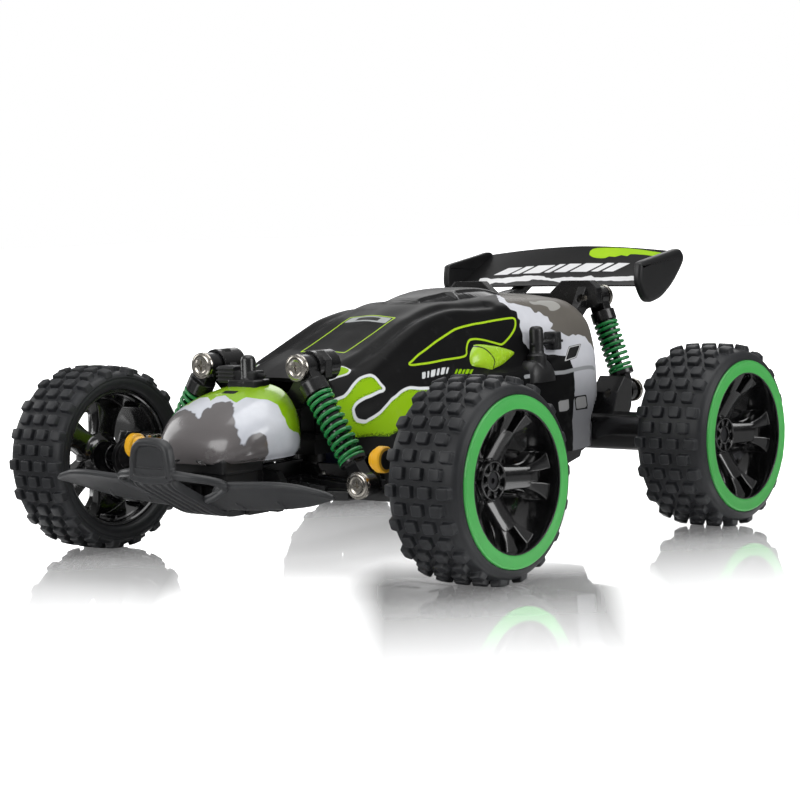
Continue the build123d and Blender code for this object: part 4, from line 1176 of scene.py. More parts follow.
# ---------------------------------------------------------------- nose cover
# y, then (x, z) of the section from the lower edge to the centre line
NOSE_STATIONS = [
    (-117.6, [(4.0, 43.6), (6.0, 43.9), (6.4, 44.6), (5.0, 45.4), (2.6, 45.9), (0, 46.0)]),
    (-116.2, [(10.0, 42.6), (12.4, 43.6), (12.8, 45.4), (10.6, 47.6), (6.2, 49.0), (0, 49.4)]),
    (-113.0, [(14.6, 41.8), (17.6, 43.6), (17.8, 47.6), (14.6, 51.8), (8.4, 53.9), (0, 54.6)]),
    (-108.0, [(17.2, 41.4), (20.8, 44.0), (20.8, 50.2), (16.8, 55.8), (9.4, 58.2), (0, 59.0)]),
    (-101.0, [(18.8, 41.3), (22.8, 44.8), (22.4, 52.6), (17.4, 58.9), (9.6, 61.4), (0, 62.2)]),
    (-93.0, [(19.4, 41.6), (23.4, 45.6), (22.6, 54.2), (17.2, 61.0), (9.4, 63.8), (0, 64.6)]),
    (-86.0, [(18.8, 42.6), (22.0, 46.4), (21.0, 55.2), (15.8, 62.0), (9.0, 65.0), (0, 65.8)]),
    (-82.0, [(17.0, 44.4), (19.6, 48.0), (18.6, 56.0), (14.2, 62.2), (8.6, 65.0), (0, 66.2)]),
    (-79.4, [(14.6, 46.4), (16.6, 49.2), (15.6, 56.4), (12.2, 61.6), (7.8, 64.4), (0, 65.6)]),
]
NOSE_Y = np.unique(
    np.round(
        np.concatenate([np.arange(-117.6, -112.0, 0.3), np.arange(-112.0, -79.4, 0.55), [-79.4]]), 4
    )
)
# Nose chart: degrees about NOSE_CENTRE away from an axis pointing forward and up;
# the first coordinate runs to +X, the second forward and down.
NOSE_CENTRE = np.array([0, -88.0, 44.0])
NOSE_AXIS = np.array([0, -1.0, 1.0]) / math.sqrt(2)
NOSE_MM_PER_DEGREE = 0.38
NOSE_LIME_EDGE = [
    (-60.0, 2.0), (-40.0, 1.5), (-29.3, -0.3), (-31.3, -7.1), (-30.3, -13.2), (-17.1, -11.6),
    (-6.4, -3.9), (-6.8, -12.2), (1.1, -15.8), (17.3, -6.4), (22.3, -4.6), (23.7, -13.0),
    (25.1, -16.0), (33.2, -16.8), (37.3, -17.6), (42.3, -21.0), (47.9, -21.4), (51.3, -22.0),
    (55.6, -18.2), (59.4, -14.5), (63.2, -13.5), (66.4, -9.9), (71.0, -8.5), (77.1, -12.5),
    (82.2, -20.8), (100.0, -40.0),
]
NOSE_GREY_EDGE = [
    (-70.0, 30.0), (-55.0, 22.0), (-42.0, 12.0), (-29.3, 8.1), (-25.5, 6.7), (-20.4, 8.7),
    (-14.7, 10.1), (-9.3, 13.0), (0.2, 18.4), (1.5, 16.5), (-0.3, 12.9), (-1.3, 9.3), (0.1, 6.2),
    (4.2, 7.9), (2.0, 1.9), (3.4, -1.3), (7.3, -3.4), (12.2, -2.4), (15.7, -5.6), (21.0, -1.0),
    (26.5, 6.2), (27.8, 11.4), (31.6, 15.1), (32.6, 19.0), (36.3, 20.6), (37.3, 24.9),
    (40.0, 26.6), (40.2, 30.5), (41.7, 29.2), (43.7, 30.6), (44.1, 26.8), (44.8, 23.1),
    (46.6, 19.8), (48.8, 17.7), (51.0, 15.5), (54.1, 15.3), (56.4, 15.6), (59.5, 20.9),
    (62.5, 26.2), (64.0, 40.0), (64.0, 80.0),
]
NOSE_TAB = [(-9.0, -27.0), (9.5, -27.0), (8.5, -19.5), (-8.0, -19.5)]
# r, z
NOSE_POST = [
    (0, 60.0), (4.2, 60.0), (4.2, 66.6), (3.2, 67.6), (2.7, 68.4), (2.65, 74.4), (2.3, 75.4),
    (1.4, 76.0), (0, 76.2),
]
NOSE_STUD = [(0, 50.0), (3.2, 50.0), (3.2, 61.5), (0, 61.5)]
NOSE_POST_PAD = [(-6.5, -4.0), (6.5, -4.0), (7.5, 0), (6.5, 4.0), (-6.5, 4.0), (-7.5, 0)]


def nose_paint():
    t = Paint("nose_painted_cover")
    outer = t.math("GREATER_THAN", t.attr("skin"), 0.5)
    silver = t.mottle((0.50, 0.52, 0.57), (0.72, 0.74, 0.79), 34.0, detail=5.0, lo=0.35, hi=0.65)
    grey = t.mottle((0.100, 0.092, 0.092), (0.140, 0.128, 0.128), scale=22.0, detail=4.0)
    grey_field = t.attr("grey")
    colour = t.mix(t.mask(grey_field, soft=0.10), silver, grey)
    grey_rim = t.line(t.add(grey_field, 0.05), half_width=0.16)
    colour = t.mix(t.mul(t.mask(grey_rim), 0.55), colour, (0.05, 0.05, 0.055))
    colour = t.paint(colour, "lime", t.lime(), soft=0.10)
    colour = t.paint(colour, "tab", (0.018, 0.018, 0.018), soft=0.08)
    haze = t.haze()
    colour = t.mix(t.mul(haze, 0.05), colour, (0.6, 0.6, 0.6))
    colour = t.mix(outer, (0.02, 0.02, 0.021), colour)
    rough = t.add(t.ramp(t.noise(scale=20.0), 0.3, 0.7, 0.20, 0.26), t.mul(haze, 0.10))
    return t.finish(colour, rough, t.paint_grain(soft_edges=False), coat=0.5)


def nose_chart(grid):
    across = np.array([1.0, 0, 0])
    ray = unit_rows(grid.reshape(-1, 3) - NOSE_CENTRE)
    degrees = np.degrees(np.arccos(np.clip(ray @ NOSE_AXIS, -1, 1)))
    heading = np.stack([ray @ across, ray @ np.cross(across, NOSE_AXIS)], axis=1)
    heading /= np.linalg.norm(heading, axis=1)[:, None] + 1e-9
    return heading * degrees[:, None]


def nose_cover():
    grid = full_grid(half_grid(NOSE_STATIONS, NOSE_Y, per=14))
    chart = nose_chart(np.concatenate([grid[:1], grid]))
    # the front lip runs level instead of rising to a point, and folds down over the tip
    edge = grid[:, :1, 2].copy()
    lip = np.clip((edge + 7.0 - grid[:, :, 2]) / 7.0, 0, 1)
    grid[:, :, 2] -= np.clip(edge - 41.2, 0, None) * smoothstep(lip)
    fold = grid[:1].copy()
    fold[:, :, 0] *= 1.35
    fold[:, :, 1] -= 0.3
    fold[:, :, 2] = 41.1
    shapes = {
        "lime": [
            *ragged(NOSE_LIME_EDGE, 0.6, 3.0, seed=11), (150, -150), (-150, -150), (-150, 2.0)
        ],
        "grey": [*ragged(NOSE_GREY_EDGE, 0.9, 2.0, seed=12), (64, 150), (-150, 150), (-150, 30)],
        "tab": NOSE_TAB,
    }
    attrs = {k: outer_only(depth_in(p, chart) * NOSE_MM_PER_DEGREE) for k, p in shapes.items()}
    attrs["skin"] = skin_flag(len(chart))
    add_mesh(
        "nose_skin", grid_shell(np.concatenate([fold, grid]), 1.3), nose_paint(), "chassis",
        ("nose_cover",), sharp=50, attrs=attrs,
    )
    parts = [
        placed(lathe(NOSE_POST, 36), (0, -86.0, 0)),
        placed(slab(NOSE_POST_PAD, 63.0, 67.6, bevel=0.7, seg=3), (0, -86.0, 0)),
        placed(lathe(NOSE_STUD, 28), (0, -94.0, 0)),
    ]
    add_mesh("nose_post", joined(parts), LOOKS["frame_gloss"], "chassis")


# ---------------------------------------------------------------- wheels
# Wheels are drawn about local z, with z = 0 at the inboard plane and +z outboard.
KNOB_H = 1.95
KNOB_FOOT = (4.45, 4.9)  # round the tyre, across it
KNOB_TOP = (3.75, 4.2)
KNOB_ROWS = 36
KNOBS_ODD = (0.95, 8.25, 15.55, 22.9)  # z of the knobs in odd and even rows
KNOBS_EVEN = (4.7, 12.2, 19.7)
# r, z of the two sidewalls
TYRE_INNER_WALL = [
    (26.0, 0.6), (26.9, -0.4), (28.2, -1.0), (29.4, -1.25), (29.8, -1.05), (30.2, -1.05),
    (30.6, -1.3), (31.4, -1.1), (32.0, -0.6),
]
TYRE_OUTER_WALL = [
    (32.05, 25.4), (31.4, 26.2), (30.6, 26.75), (30.0, 26.95), (29.75, 27.2), (29.2, 27.35),
    (28.8, 27.3), (28.72, 26.8), (28.7, 26.0), (26.0, 26.0),
]
RIM_BARREL = [
    (24.9, 1.4), (24.4, 2.0), (24.3, 4.7), (23.7, 5.2), (23.6, 9.0), (23.3, 11.6), (22.9, 13.2),
    (23.2, 18.0), (23.4, 22.0), (23.4, 25.4), (23.4, 27.4), (23.55, 27.9), (23.85, 27.98),
    (24.02, 27.7), (24.1, 26.0), (26.0, 25.95), (26.0, 1.5),
]
RIM_HUB = [
    (2.15, 3.2), (5.0, 3.2), (5.4, 3.7), (5.7, 9.6), (8.8, 10.6), (9.4, 11.3), (9.4, 14.2),
    (8.9, 15.0), (7.5, 15.5), (6.95, 16.0), (6.8, 17.9), (6.45, 18.25), (6.05, 18.2),
    (5.85, 17.9), (5.8, 16.5), (3.75, 16.5), (3.7, 17.8), (3.5, 18.1), (3.0, 18.15),
    (2.75, 17.9), (2.7, 15.0), (2.15, 15.0),
]
TRIM_RING = [
    (23.85, 26.0), (28.65, 26.0), (28.68, 27.5), (28.5, 27.95), (28.2, 28.1), (27.6, 28.0),
    (24.9, 28.0), (24.4, 28.12), (24.05, 28.0), (23.85, 27.6),
]
# spoke outlines: distance from the hub axis, half width
SPOKE_UNDER = [
    (6.3, 4.6), (8.2, 4.4), (10.5, 4.2), (13.0, 4.3), (16.0, 4.8), (18.5, 5.8), (20.6, 7.1),
    (22.0, 8.2), (22.9, 9.2), (23.1, 6.0), (23.4, 0.0),
]
SPOKE_FACE = [(6.2, 4.3), (9.0, 4.0), (12.0, 3.8), (15.6, 3.7), (16.8, 3.3), (17.0, 0.0)]
SPOKE_PRONG = [
    (15.8, 1.7), (15.6, 3.9), (17.4, 4.6), (19.4, 5.7), (21.2, 7.1), (22.4, 8.5), (22.9, 7.6),
    (23.3, 4.9), (23.45, 2.6), (21.0, 2.1), (18.0, 1.8),
]


def crown(z):
    """Radius over the knobs at z across the tyre."""
    d = abs(z - 12.3) * 0.94
    return TYRE_R - 0.0034 * d * d - (0.075 * (d - 9.4) ** 2 if d > 9.4 else 0.0)


def knob():
    """Rounded block with drafted sides: x round the tyre, y across it, z outwards."""
    corners = ((-1, -1), (1, -1), (1, 1), (-1, 1))
    low = [(sx * KNOB_FOOT[0] / 2, sy * KNOB_FOOT[1] / 2, -0.25) for sx, sy in corners]
    top = [(sx * KNOB_TOP[0] / 2, sy * KNOB_TOP[1] / 2, KNOB_H) for sx, sy in corners]
    bm = prism(low, top)
    upright = [e for e in bm.edges if abs(e.verts[0].co.z - e.verts[1].co.z) > 1]
    bevel_edges(bm, upright, 0.85, 3, 0.55)
    bm.normal_update()
    top_edges = [e for e in bm.edges if min(v.co.z for v in e.verts) > 1.9]
    bevel_edges(bm, top_edges, 0.36, 3, 0.55)
    return shell_of(bm)


def tyre():
    tread = [(crown(z) - KNOB_H, z) for z in np.linspace(0.3, 24.6, 20)]
    parts = [lathe(TYRE_INNER_WALL + tread + TYRE_OUTER_WALL, 180)]
    block_shell = knob()
    rng = np.random.default_rng(5)
    for row in range(KNOB_ROWS):
        row_angle = math.radians(10 * row - 90)
        for across in KNOBS_ODD if row % 2 else KNOBS_EVEN:
            (x, y, up), faces = spun(block_shell, rng.normal(0, 0.012))[0].T, block_shell[1]
            z = across + y
            r = np.array([crown(c) for c in np.clip(z, -1.8, 26.6)]) - KNOB_H + up
            angle = row_angle + x / 34.2
            parts.append((np.stack([r * np.cos(angle), r * np.sin(angle), z], axis=1), faces))
    return joined(parts)


def both_edges(half):
    return half + [(x, -y) for x, y in half[::-1] if y > 0]


def raised_spoke(shell):
    """Lift a flat spoke part so that the spoke rises outboard towards the barrel."""
    verts, faces = shell
    x, y, z = verts.T
    out = np.clip(x - 6.0, 0, 30)
    rise = 0.30 * out + 0.0065 * out * out
    face_share = 0.55 + 0.45 * np.clip((z - 12.5) / 3.0, 0, 1)
    crowning = 0.055 * y * y * (z > 16.0) * np.clip(1 - (x - 15.0) / 4.0, 0, 1)
    lift = np.where(z > 12.5, rise * face_share - crowning, rise * 0.5)
    return np.stack([x, y, z + lift], axis=1), faces


def rim():
    parts = [lathe(RIM_BARREL, 144), lathe(RIM_HUB, 72)]
    for k in range(8):
        tick = block((3.5, 6.0), (-0.72, 0.72), (16.2, 17.85), bevel=0.25)
        parts.append(spun(tick, math.radians(45 * k + 11)))
    spoke = [
        slab(both_edges(SPOKE_UNDER), 10.4, 14.2, bevel=0.5, draft=0.35),
        slab(both_edges(SPOKE_FACE), 13.8, 17.2, bevel=0.45, seg=3, draft=0.35),
    ]
    for s in (1, -1):
        prong = [(x, s * y) for x, y in SPOKE_PRONG]
        spoke.append(slab(prong, 13.8, 17.0, bevel=0.4, seg=3, draft=0.3))
    spoke = joined([raised_spoke(part) for part in spoke])
    for k in range(5):
        parts.append(spun(spoke, math.radians(72 * k - 2)))
    for k in range(10):
        rib = block((22.2, 23.9), (-0.45, 0.45), (3.5, 12.0), bevel=0.25)
        parts.append(spun(rib, math.radians(36 * k + 16)))
    return joined(parts)


def wheels():
    # kind, name ending, shell, slot, sharp angle
    parts = (
        ("tyre", "tread", tyre(), "tyre_rubber", 42),
        ("rim", "spoked", rim(), "rim_black", 36),
        ("ring", "trim", lathe(TRIM_RING, 180), "ring_green", 40),
    )
    for side, s in SIDES:
        for end, axle_y in AXLES:
            for kind, ending, (verts, faces), slot, sharp in parts:
                if end == "front":
                    body, replaced = f"wheel_front_{side}", (f"{kind}_front_{side}",)
                else:
                    # the CAD has one piece for both rear wheels
                    body, replaced = "rear_wheels", (f"rear_{kind}s",) if side == "left" else ()
                x, y, z = verts.T
                on_axle = np.stack([s * (WHEEL_INNER_X + z), axle_y + x, AXLE_Z + y], axis=1)
                add_mesh(
                    f"{kind}_{end}_{side}_{ending}", (on_axle, faces), LOOKS[kind], body,
                    replaced, sharp=sharp,
                )


# ---------------------------------------------------------------- springs
COIL_R, WIRE_R = 4.3, 0.72
FRONT_SHOCK_TOP = np.array([22.7, -82.0, 71.9])
FRONT_SHOCK_LOW = np.array([48.5, -82.0, 32.3])
# end: shock top, shock foot, spring start and end along it, turns, joint, squash share
SPRINGS = {
    "front": (FRONT_SHOCK_TOP, FRONT_SHOCK_LOW, 10.6, 38.6, 11.0, "front_{}_swing", 5.42 / 28.0),
    "rear": (
        np.array([30.8, 88.0, 87.1]), np.array([44.0, 88.0, 49.5]), 10.3, 32.6, 10.0,
        "rear_axle_swing", 6.41 / 22.3,
    ),
}


def coil(top, down, start, end, turns):
    """Helix from start to end along the unit vector down; the pitch eases at both ends."""
    x = unit(np.cross([0, 1.0, 0], down))
    t = np.linspace(0, 1, int(turns * 40) + 1)
    middle = 0.055 + (t - 0.10) * (0.89 / 0.80)
    ease = np.where(t < 0.10, t * 0.55, np.where(t > 0.90, 1 - (1 - t) * 0.55, middle))
    along = start + WIRE_R + 0.05 + (end - start - 2 * WIRE_R - 0.1) * ease
    angle = (2 * math.pi * turns * t)[:, None]
    ring = np.cos(angle) * x + np.sin(angle) * np.array([0, 1.0, 0])
    return tube(top + along[:, None] * down + COIL_R * ring, WIRE_R, 12)


def springs():
    for side, s in SIDES:
        mirror = np.array([s, 1, 1])
        for end, (top, foot, start, stop, turns, joint, share) in SPRINGS.items():
            down = unit(foot - top)
            ob = add_mesh(
                f"coil_spring_{end}_{side}",
                placed(coil(top, down, start, stop, turns), scale=mirror),
                LOOKS["spring"], f"shock_upper_{end}_{side}",
                (f"shock_spring_{end}_{side}",), sharp=None,
            )
            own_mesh(ob)


# ---------------------------------------------------------------- front bumper
# x, underside front (y, z), underside rear (y, z), thickness
BLADE = [
    (8.2, -118.6, 28.4, -112.6, 25.0, 2.4), (12.0, -120.0, 30.0, -112.6, 25.2, 2.4),
    (15.5, -122.6, 32.6, -112.7, 25.4, 2.4), (20.0, -124.6, 34.8, -112.8, 25.5, 2.4),
    (25.0, -125.0, 35.3, -112.8, 25.8, 2.4), (34.0, -125.2, 35.8, -112.9, 26.4, 2.4),
    (45.0, -124.8, 36.2, -113.2, 27.6, 2.4), (53.0, -123.6, 35.8, -114.0, 29.0, 2.3),
    (59.0, -121.7, 34.6, -115.4, 30.6, 2.2), (63.0, -120.2, 33.6, -116.7, 31.6, 2.0),
    (65.0, -119.0, 32.9, -117.6, 32.2, 1.4),
]
# x, y, z
SIDE_LOOP = [
    (8.4, -134.0, 39.6), (12.5, -133.6, 39.3), (17.0, -132.0, 38.7), (21.0, -129.2, 37.8),
    (23.4, -126.6, 36.6), (23.4, -124.6, 35.2), (20.6, -123.2, 33.6), (16.0, -121.6, 31.6),
    (10.5, -120.0, 29.8),
]
# y, z
TONGUE = [
    (-136.0, 41.5), (-135.4, 38.9), (-133.2, 35.6), (-127.0, 32.0), (-120.0, 28.2),
    (-113.0, 24.5), (-107.0, 22.7), (-101.1, 22.0),
]
# x, z
SHIELD = [
    (-9.7, 37.8), (-10.0, 42.0), (-9.8, 45.6), (-8.8, 49.0), (-6.2, 51.2), (-2.4, 51.7),
    (2.0, 51.6), (5.4, 50.9), (7.9, 48.8), (9.0, 45.4), (9.5, 42.0), (9.7, 37.8), (6.0, 36.6),
    (0, 36.2), (-6.0, 36.6),
]
# y, inset of the outline, from the back of the shield to its dished front
SHIELD_LAYERS = [
    (-132.9, 1.2), (-132.8, 0.4), (-133.2, 0.0), (-135.2, 0.0), (-136.0, 0.35), (-136.45, 1.0),
    (-136.5, 1.6), (-136.35, 2.2), (-135.9, 2.6), (-135.2, 2.85), (-134.95, 3.6),
]
SHIELD_FRONT_Y = -136.5


def blade_values(xs):
    return monotone_columns([b[0] for b in BLADE], [b[1:] for b in BLADE], xs)


def blade_section(front, rear, thick):
    """Round-edged (y, z) loop of a plate whose underside runs from front to rear."""
    along = unit(rear - front)
    up = np.array([-along[1], along[0]])
    r = thick / 2
    c1 = front + up * r + along * r * 0.6
    c2 = rear + up * r - along * r * 0.6

    def cap(centre, start):
        angles = [start + math.pi * k / 5 for k in range(6)]
        return [centre + r * (math.cos(a) * along + math.sin(a) * up) for a in angles]

    out = cap(c1, math.pi / 2)
    out += [c1 - up * r + (c2 - c1) * k / 4 for k in range(1, 4)]
    out += cap(c2, -math.pi / 2)
    out += [c2 + up * r + (c1 - c2) * k / 4 for k in range(1, 4)]
    return np.array(out)


def bumper_blade():
    """+X blade, closed by two shrinking loops at its tip."""
    xs = np.concatenate([np.linspace(8.2, 60, 60), np.linspace(60.5, 65.0, 14)])
    loops = []
    for x, v in zip(xs, blade_values(xs)):
        section = blade_section(v[:2], v[2:4], v[4])
        loops.append(np.column_stack([np.full(len(section), x), section]))
    last = loops[-1]
    centre = last.mean(0)
    for share in (0.82, 0.5):
        loops.append(centre + (last - centre) * share + np.array([0.35 * (1 - share) + 0.3, 0, 0]))
    return loft(loops)


def blade_tick(x):
    """Short raised bar on the underside near the trailing edge."""
    v = blade_values(np.array([x]))[0]
    front, rear = v[:2], v[2:4]
    along = unit(rear - front)
    below = np.array([along[1], -along[0]]) * 0.05
    path = [(x - 1.2, *(rear - along * 5.2 + below)), (x + 0.4, *(rear - along * 1.2 + below))]
    return tube(smooth_path(path, 6), 0.5, 8)


def side_loop():
    """+X bar from the shield round to the blade."""
    path = smooth_path(SIDE_LOOP, 8)
    radii = np.interp(np.linspace(0, 1, len(path)), [0, 0.35, 0.6, 1], [1.7, 1.45, 1.5, 1.5])
    return tube(path, radii, 14)


def tongue():
    """Centre strip with lengthwise ribs moulded on its underside."""
    half_width, rib_pitch, thick = 9.6, 3.84, 2.5
    path = smooth_path(TONGUE, 6)
    tangents = unit_rows(np.gradient(path, axis=0))
    loops = []
    for i, (p, t) in enumerate(zip(path, tangents)):
        up = np.array([-t[1], t[0]])
        if up[1] < 0:
            up = -up
        # the ribs fade in at the front and out at the rear
        rib = min(1.0, max(0.0, (i - 4) / 6)) * min(1.0, (len(path) - i) / 8)
        loop = []
        for x in np.linspace(-half_width, half_width, 97):
            phase = abs(((x + half_width) / rib_pitch) % 1 - 0.5) * 2
            drop = -0.75 * rib * min(1.0, max(0.0, (phase - 0.35) / 0.25))
            edge = 0.5 * max(0, (abs(x) - 9.0) / 0.6) ** 2
            loop.append((x, *(p + up * (drop + edge))))
        for x in np.linspace(9.8, -9.8, 12):
            edge = -0.5 * max(0, (abs(x) - 8.8) / 1.0) ** 2
            loop.append((x, *(p + up * (thick + edge))))
        loops.append(loop)
    return loft(loops)


def inset_outline(points, inset):
    tangents = unit_rows(np.roll(points, -1, 0) - np.roll(points, 1, 0))
    normals = np.stack([-tangents[:, 1], tangents[:, 0]], axis=1)
    if ((points.mean(0) - points) * normals).sum() < 0:
        normals = -normals
    return points + normals * inset


def shield():
    outline = smooth_path(SHIELD, 6, True)
    loops = []
    for y, inset in SHIELD_LAYERS:
        x, z = inset_outline(outline, inset).T
        loops.append(np.stack([x, y + (z - 45.0) * 0.06, z], axis=1))
    verts, faces = loft(loops)
    verts[:, 1] = np.maximum(verts[:, 1], SHIELD_FRONT_Y)
    return verts, faces


def front_bumper():
    half = [bumper_blade(), blade_tick(22.0), blade_tick(41.0), side_loop()]
    parts = [placed(part, scale=(s, 1, 1)) for s in (1, -1) for part in half]
    parts += [tongue(), shield()]
    add_mesh(
        "bumper_plate", joined(parts), LOOKS["bumper"], "chassis",
        ("front_bumper",), sharp=42,
    )


def bumper_mount():
    """Ribbed block behind the blade, with a chin closing the gap to the nose cover."""
    parts = [block((-12, 12), (-111.2, -101.1), (24.2, 40.4), bevel=0.6, seg=3)]
    for k in range(-2, 3):
        xs = (k * 4.6 - 0.5, k * 4.6 + 0.5)
        parts.append(block(xs, (-112.2, -110.8), (27.0, 40.2), bevel=0.25))
    for s in (1, -1):
        for y in (-109.6, -106.2, -102.8):
            xs = sorted((s * 11.8, s * 12.7))
            parts.append(block(xs, (y - 0.45, y + 0.45), (24.6, 40.2), bevel=0.25))
    parts.append(block((-15.0, 15.0), (-116.0, -96.0), (37.4, 43.0), bevel=1.2, seg=3))
    parts.append(block((-13.0, 13.0), (-113.5, -97.0), (33.0, 38.8), bevel=0.8, seg=3))
    add_mesh("bumper_mount_block", joined(parts), LOOKS["frame"], "chassis")


# ---------------------------------------------------------------- rear wing
# Wing chart: x, and arc length back from the leading edge on a chord WING_CHART_CHORD long
WING_CHART_CHORD = 30.95
WING_HALF_SPAN = 47.2
WING_LIME = [
    (7.2, 28.8), (12.9, 29.9), (25.4, 30.2), (35.8, 29.4), (44.9, 28.4), (47.5, 28.0),
    (47.5, 26.2), (41.4, 25.6), (34.7, 26.2), (27.5, 26.0), (27.2, 24.3), (23.7, 25.0),
    (21.5, 23.4), (18.3, 23.7), (17.2, 22.3), (12.9, 22.2), (9.5, 23.4), (7.4, 25.4),
]
BAND_REAR = [
    (-38.7, 7.9), (-35.0, 8.2), (-32.3, 7.0), (-21.2, 8.2), (-12.8, 9.3), (-7.3, 8.6),
    (-0.3, 6.0), (5.0, 7.6), (14.1, 7.2), (17.9, 8.9), (20.4, 7.2), (31.0, 8.0), (40.8, 9.0),
    (46.9, 8.8),
]
BAND_FRONT = [
    (46.9, 4.4), (43.1, 4.6), (20.4, 4.2), (10.7, 3.7), (6.6, 2.6), (-1.7, 4.9), (-10.1, 6.0),
    (-10.8, 4.6), (-17.3, 4.5), (-21.6, 2.6), (-27.6, 3.8), (-30.0, 1.8), (-33.8, 2.2),
    (-37.5, 5.0),
]
WING_BAR_START = -33.5
WING_BAR_WIDTHS = (7.5, 4.2, 9.0, 3.2, 6.4, 8.6, 3.8, 5.6)
WING_BAR_GAP, WING_BAR_SLANT = 1.7, 4.6
# y, z
END_PLATE = [
    (90.4, 93.2), (91.0, 98.6), (92.4, 100.6), (100.0, 101.9), (112.0, 103.7), (120.2, 104.9),
    (123.2, 103.6), (124.3, 100.8), (122.0, 97.2), (115.5, 91.2), (108.0, 86.6), (103.0, 84.9),
    (98.4, 84.3), (95.0, 85.6), (92.0, 89.4),
]
# |x|, inset of the outline
END_PLATE_LAYERS = [
    (46.95, 1.4), (46.8, 0.5), (47.0, 0.0), (48.6, -0.05), (49.4, 0.25), (49.85, 0.8),
    (50.05, 1.6), (50.1, 2.3),
]


def wing_paint():
    t = Paint("wing_painted_blade")
    drift = t.noise(scale=20.0, detail=4.0)
    black, soft_black = (0.0050, 0.0050, 0.0054), (0.0080, 0.0080, 0.0084)
    colour = t.mix(t.ramp(drift, 0.3, 0.7), black, soft_black)
    lime = t.mottle((0.33, 0.60, 0.006), (0.40, 0.66, 0.010), scale=40.0, lo=0.35)
    white = t.mottle((0.84, 0.84, 0.84), (0.72, 0.72, 0.73), scale=60.0, detail=5.0, lo=0.4)
    colour = t.paint(colour, "lime", lime)
    colour = t.paint(colour, "band", white)
    colour = t.paint(colour, "bars", white, soft=0.10)
    rough = t.add(t.ramp(drift, 0.3, 0.7, 0.34, 0.40), t.mul(t.haze(), 0.1))
    return t.finish(colour, rough, t.paint_grain(strength=0.06), coat_rough=0.2, spec=0.10)


def wing_sections(xs, t):
    """Upper and lower (x, y, z) curves of the blade at each x, front to rear."""
    thick = 0.35 + 1.7 * np.sin(math.pi * t) ** 0.6 * (1 - 0.45 * t)
    uppers, lowers = [], []
    u = t[:, None]
    for x in xs:
        out = abs(x) / WING_HALF_SPAN
        p0 = np.array([95.0, 91.0 - 0.25 * out])
        p3 = np.array([122.6 - 0.3 * out, 106.3 - 3.0 * out**1.7])
        p1 = p0 + np.array([9.0, 3.4])
        p2 = p3 - np.array([9.0, 5.6 - 0.8 * out])
        curve = (1 - u) ** 3 * p0 + 3 * (1 - u) ** 2 * u * p1 + 3 * (1 - u) * u**2 * p2 + u**3 * p3
        along = unit_rows(np.gradient(curve, axis=0))
        normal = np.stack([-along[:, 1], along[:, 0]], axis=1)
        low = curve - normal * thick[:, None]
        column = np.full(len(t), x)
        uppers.append(np.stack([column, curve[:, 0], curve[:, 1] + 0.45], axis=1))
        lowers.append(np.stack([column, low[:, 0], low[:, 1] + 0.35], axis=1))
    return np.array(uppers), np.array(lowers)


def wing_blade():
    xs = np.linspace(-WING_HALF_SPAN, WING_HALF_SPAN, 190)
    uppers, lowers = wing_sections(xs, np.linspace(0, 1, 46))
    loops = [np.concatenate([up, low[::-1][1:-1]]) for up, low in zip(uppers, lowers)]
    steps = np.linalg.norm(np.diff(uppers[95], axis=0), axis=1)
    arc = np.concatenate([[0], np.cumsum(steps)])
    # underside points lie far ahead of the chart, so they take no paint
    loop_arc = np.concatenate([arc, np.full(len(loops[0]) - len(arc), -20.0)])
    chart = np.array([(x, a) for x in xs for a in loop_arc])
    k = arc[-1] / WING_CHART_CHORD

    def scaled(points):
        return [(x, a * k) for x, a in points]

    band = [*ragged(BAND_REAR, 0.35, 1.6, seed=21), *ragged(BAND_FRONT, 0.35, 1.6, seed=22)]
    bars = np.full(len(chart), -FAR)
    x = WING_BAR_START
    for width in WING_BAR_WIDTHS:
        front, rear = 10.6 + (x + 33) * 0.03, 16.4 + (x + 33) * 0.05
        bar = [
            (x, front), (x + width, front),
            (x + width + WING_BAR_SLANT, rear), (x + WING_BAR_SLANT, rear),
        ]
        bars = np.maximum(bars, depth_in(scaled(bar), chart))
        x += width + WING_BAR_GAP
    fields = {
        "lime": depth_in(smooth_path(scaled(WING_LIME), 2, True), chart),
        "band": depth_in(scaled(band), chart),
        "bars": bars,
    }
    under = chart[:, 1] < -5
    attrs = {key: np.clip(np.where(under, -FAR, v), -FAR, FAR) for key, v in fields.items()}
    add_mesh(
        "wing_blade", loft(loops), wing_paint(), "chassis", ("rear_wing",),
        attrs=attrs,
    )


def wing_end_plates():
    outline = smooth_path(END_PLATE, 5, True)
    parts = []
    for s in (1, -1):
        loops = []
        for x, inset in END_PLATE_LAYERS:
            loops.append(
                np.column_stack([np.full(len(outline), s * x), inset_outline(outline, inset)])
            )
        parts.append(loft(loops))
    add_mesh(
        "wing_end_plates", joined(parts), LOOKS["frame"], "chassis", sharp=50
    )


# ---------------------------------------------------------------- screws and kingpin housings
SCREW_Y = -84.85  # plane of the heads' undersides
# r, height of the head: dished middle, raised rim
SCREW_DOME = [
    (0, 1.30), (1.9, 1.34), (2.3, 1.55), (2.9, 1.86), (3.7, 1.82), (4.3, 1.52), (4.62, 1.0),
    (4.75, 0.2),
]
CROSS_ARM = [(-1.75, -0.42), (1.75, -0.42), (1.75, 0.42), (-1.75, 0.42)]
CROSS_DEPTH = 0.95
# |x| and radii of the two stacked barrels of a housing
HOUSING = (
    ((55.4, 56.4, 60.2, 61.2), (2.9, 3.7, 3.7, 3.2)),
    ((57.4, 58.0, 60.4, 61.0), (4.0, 4.6, 4.6, 4.0)),
)
HOUSING_Y, HOUSING_Z = -85.2, 41.6


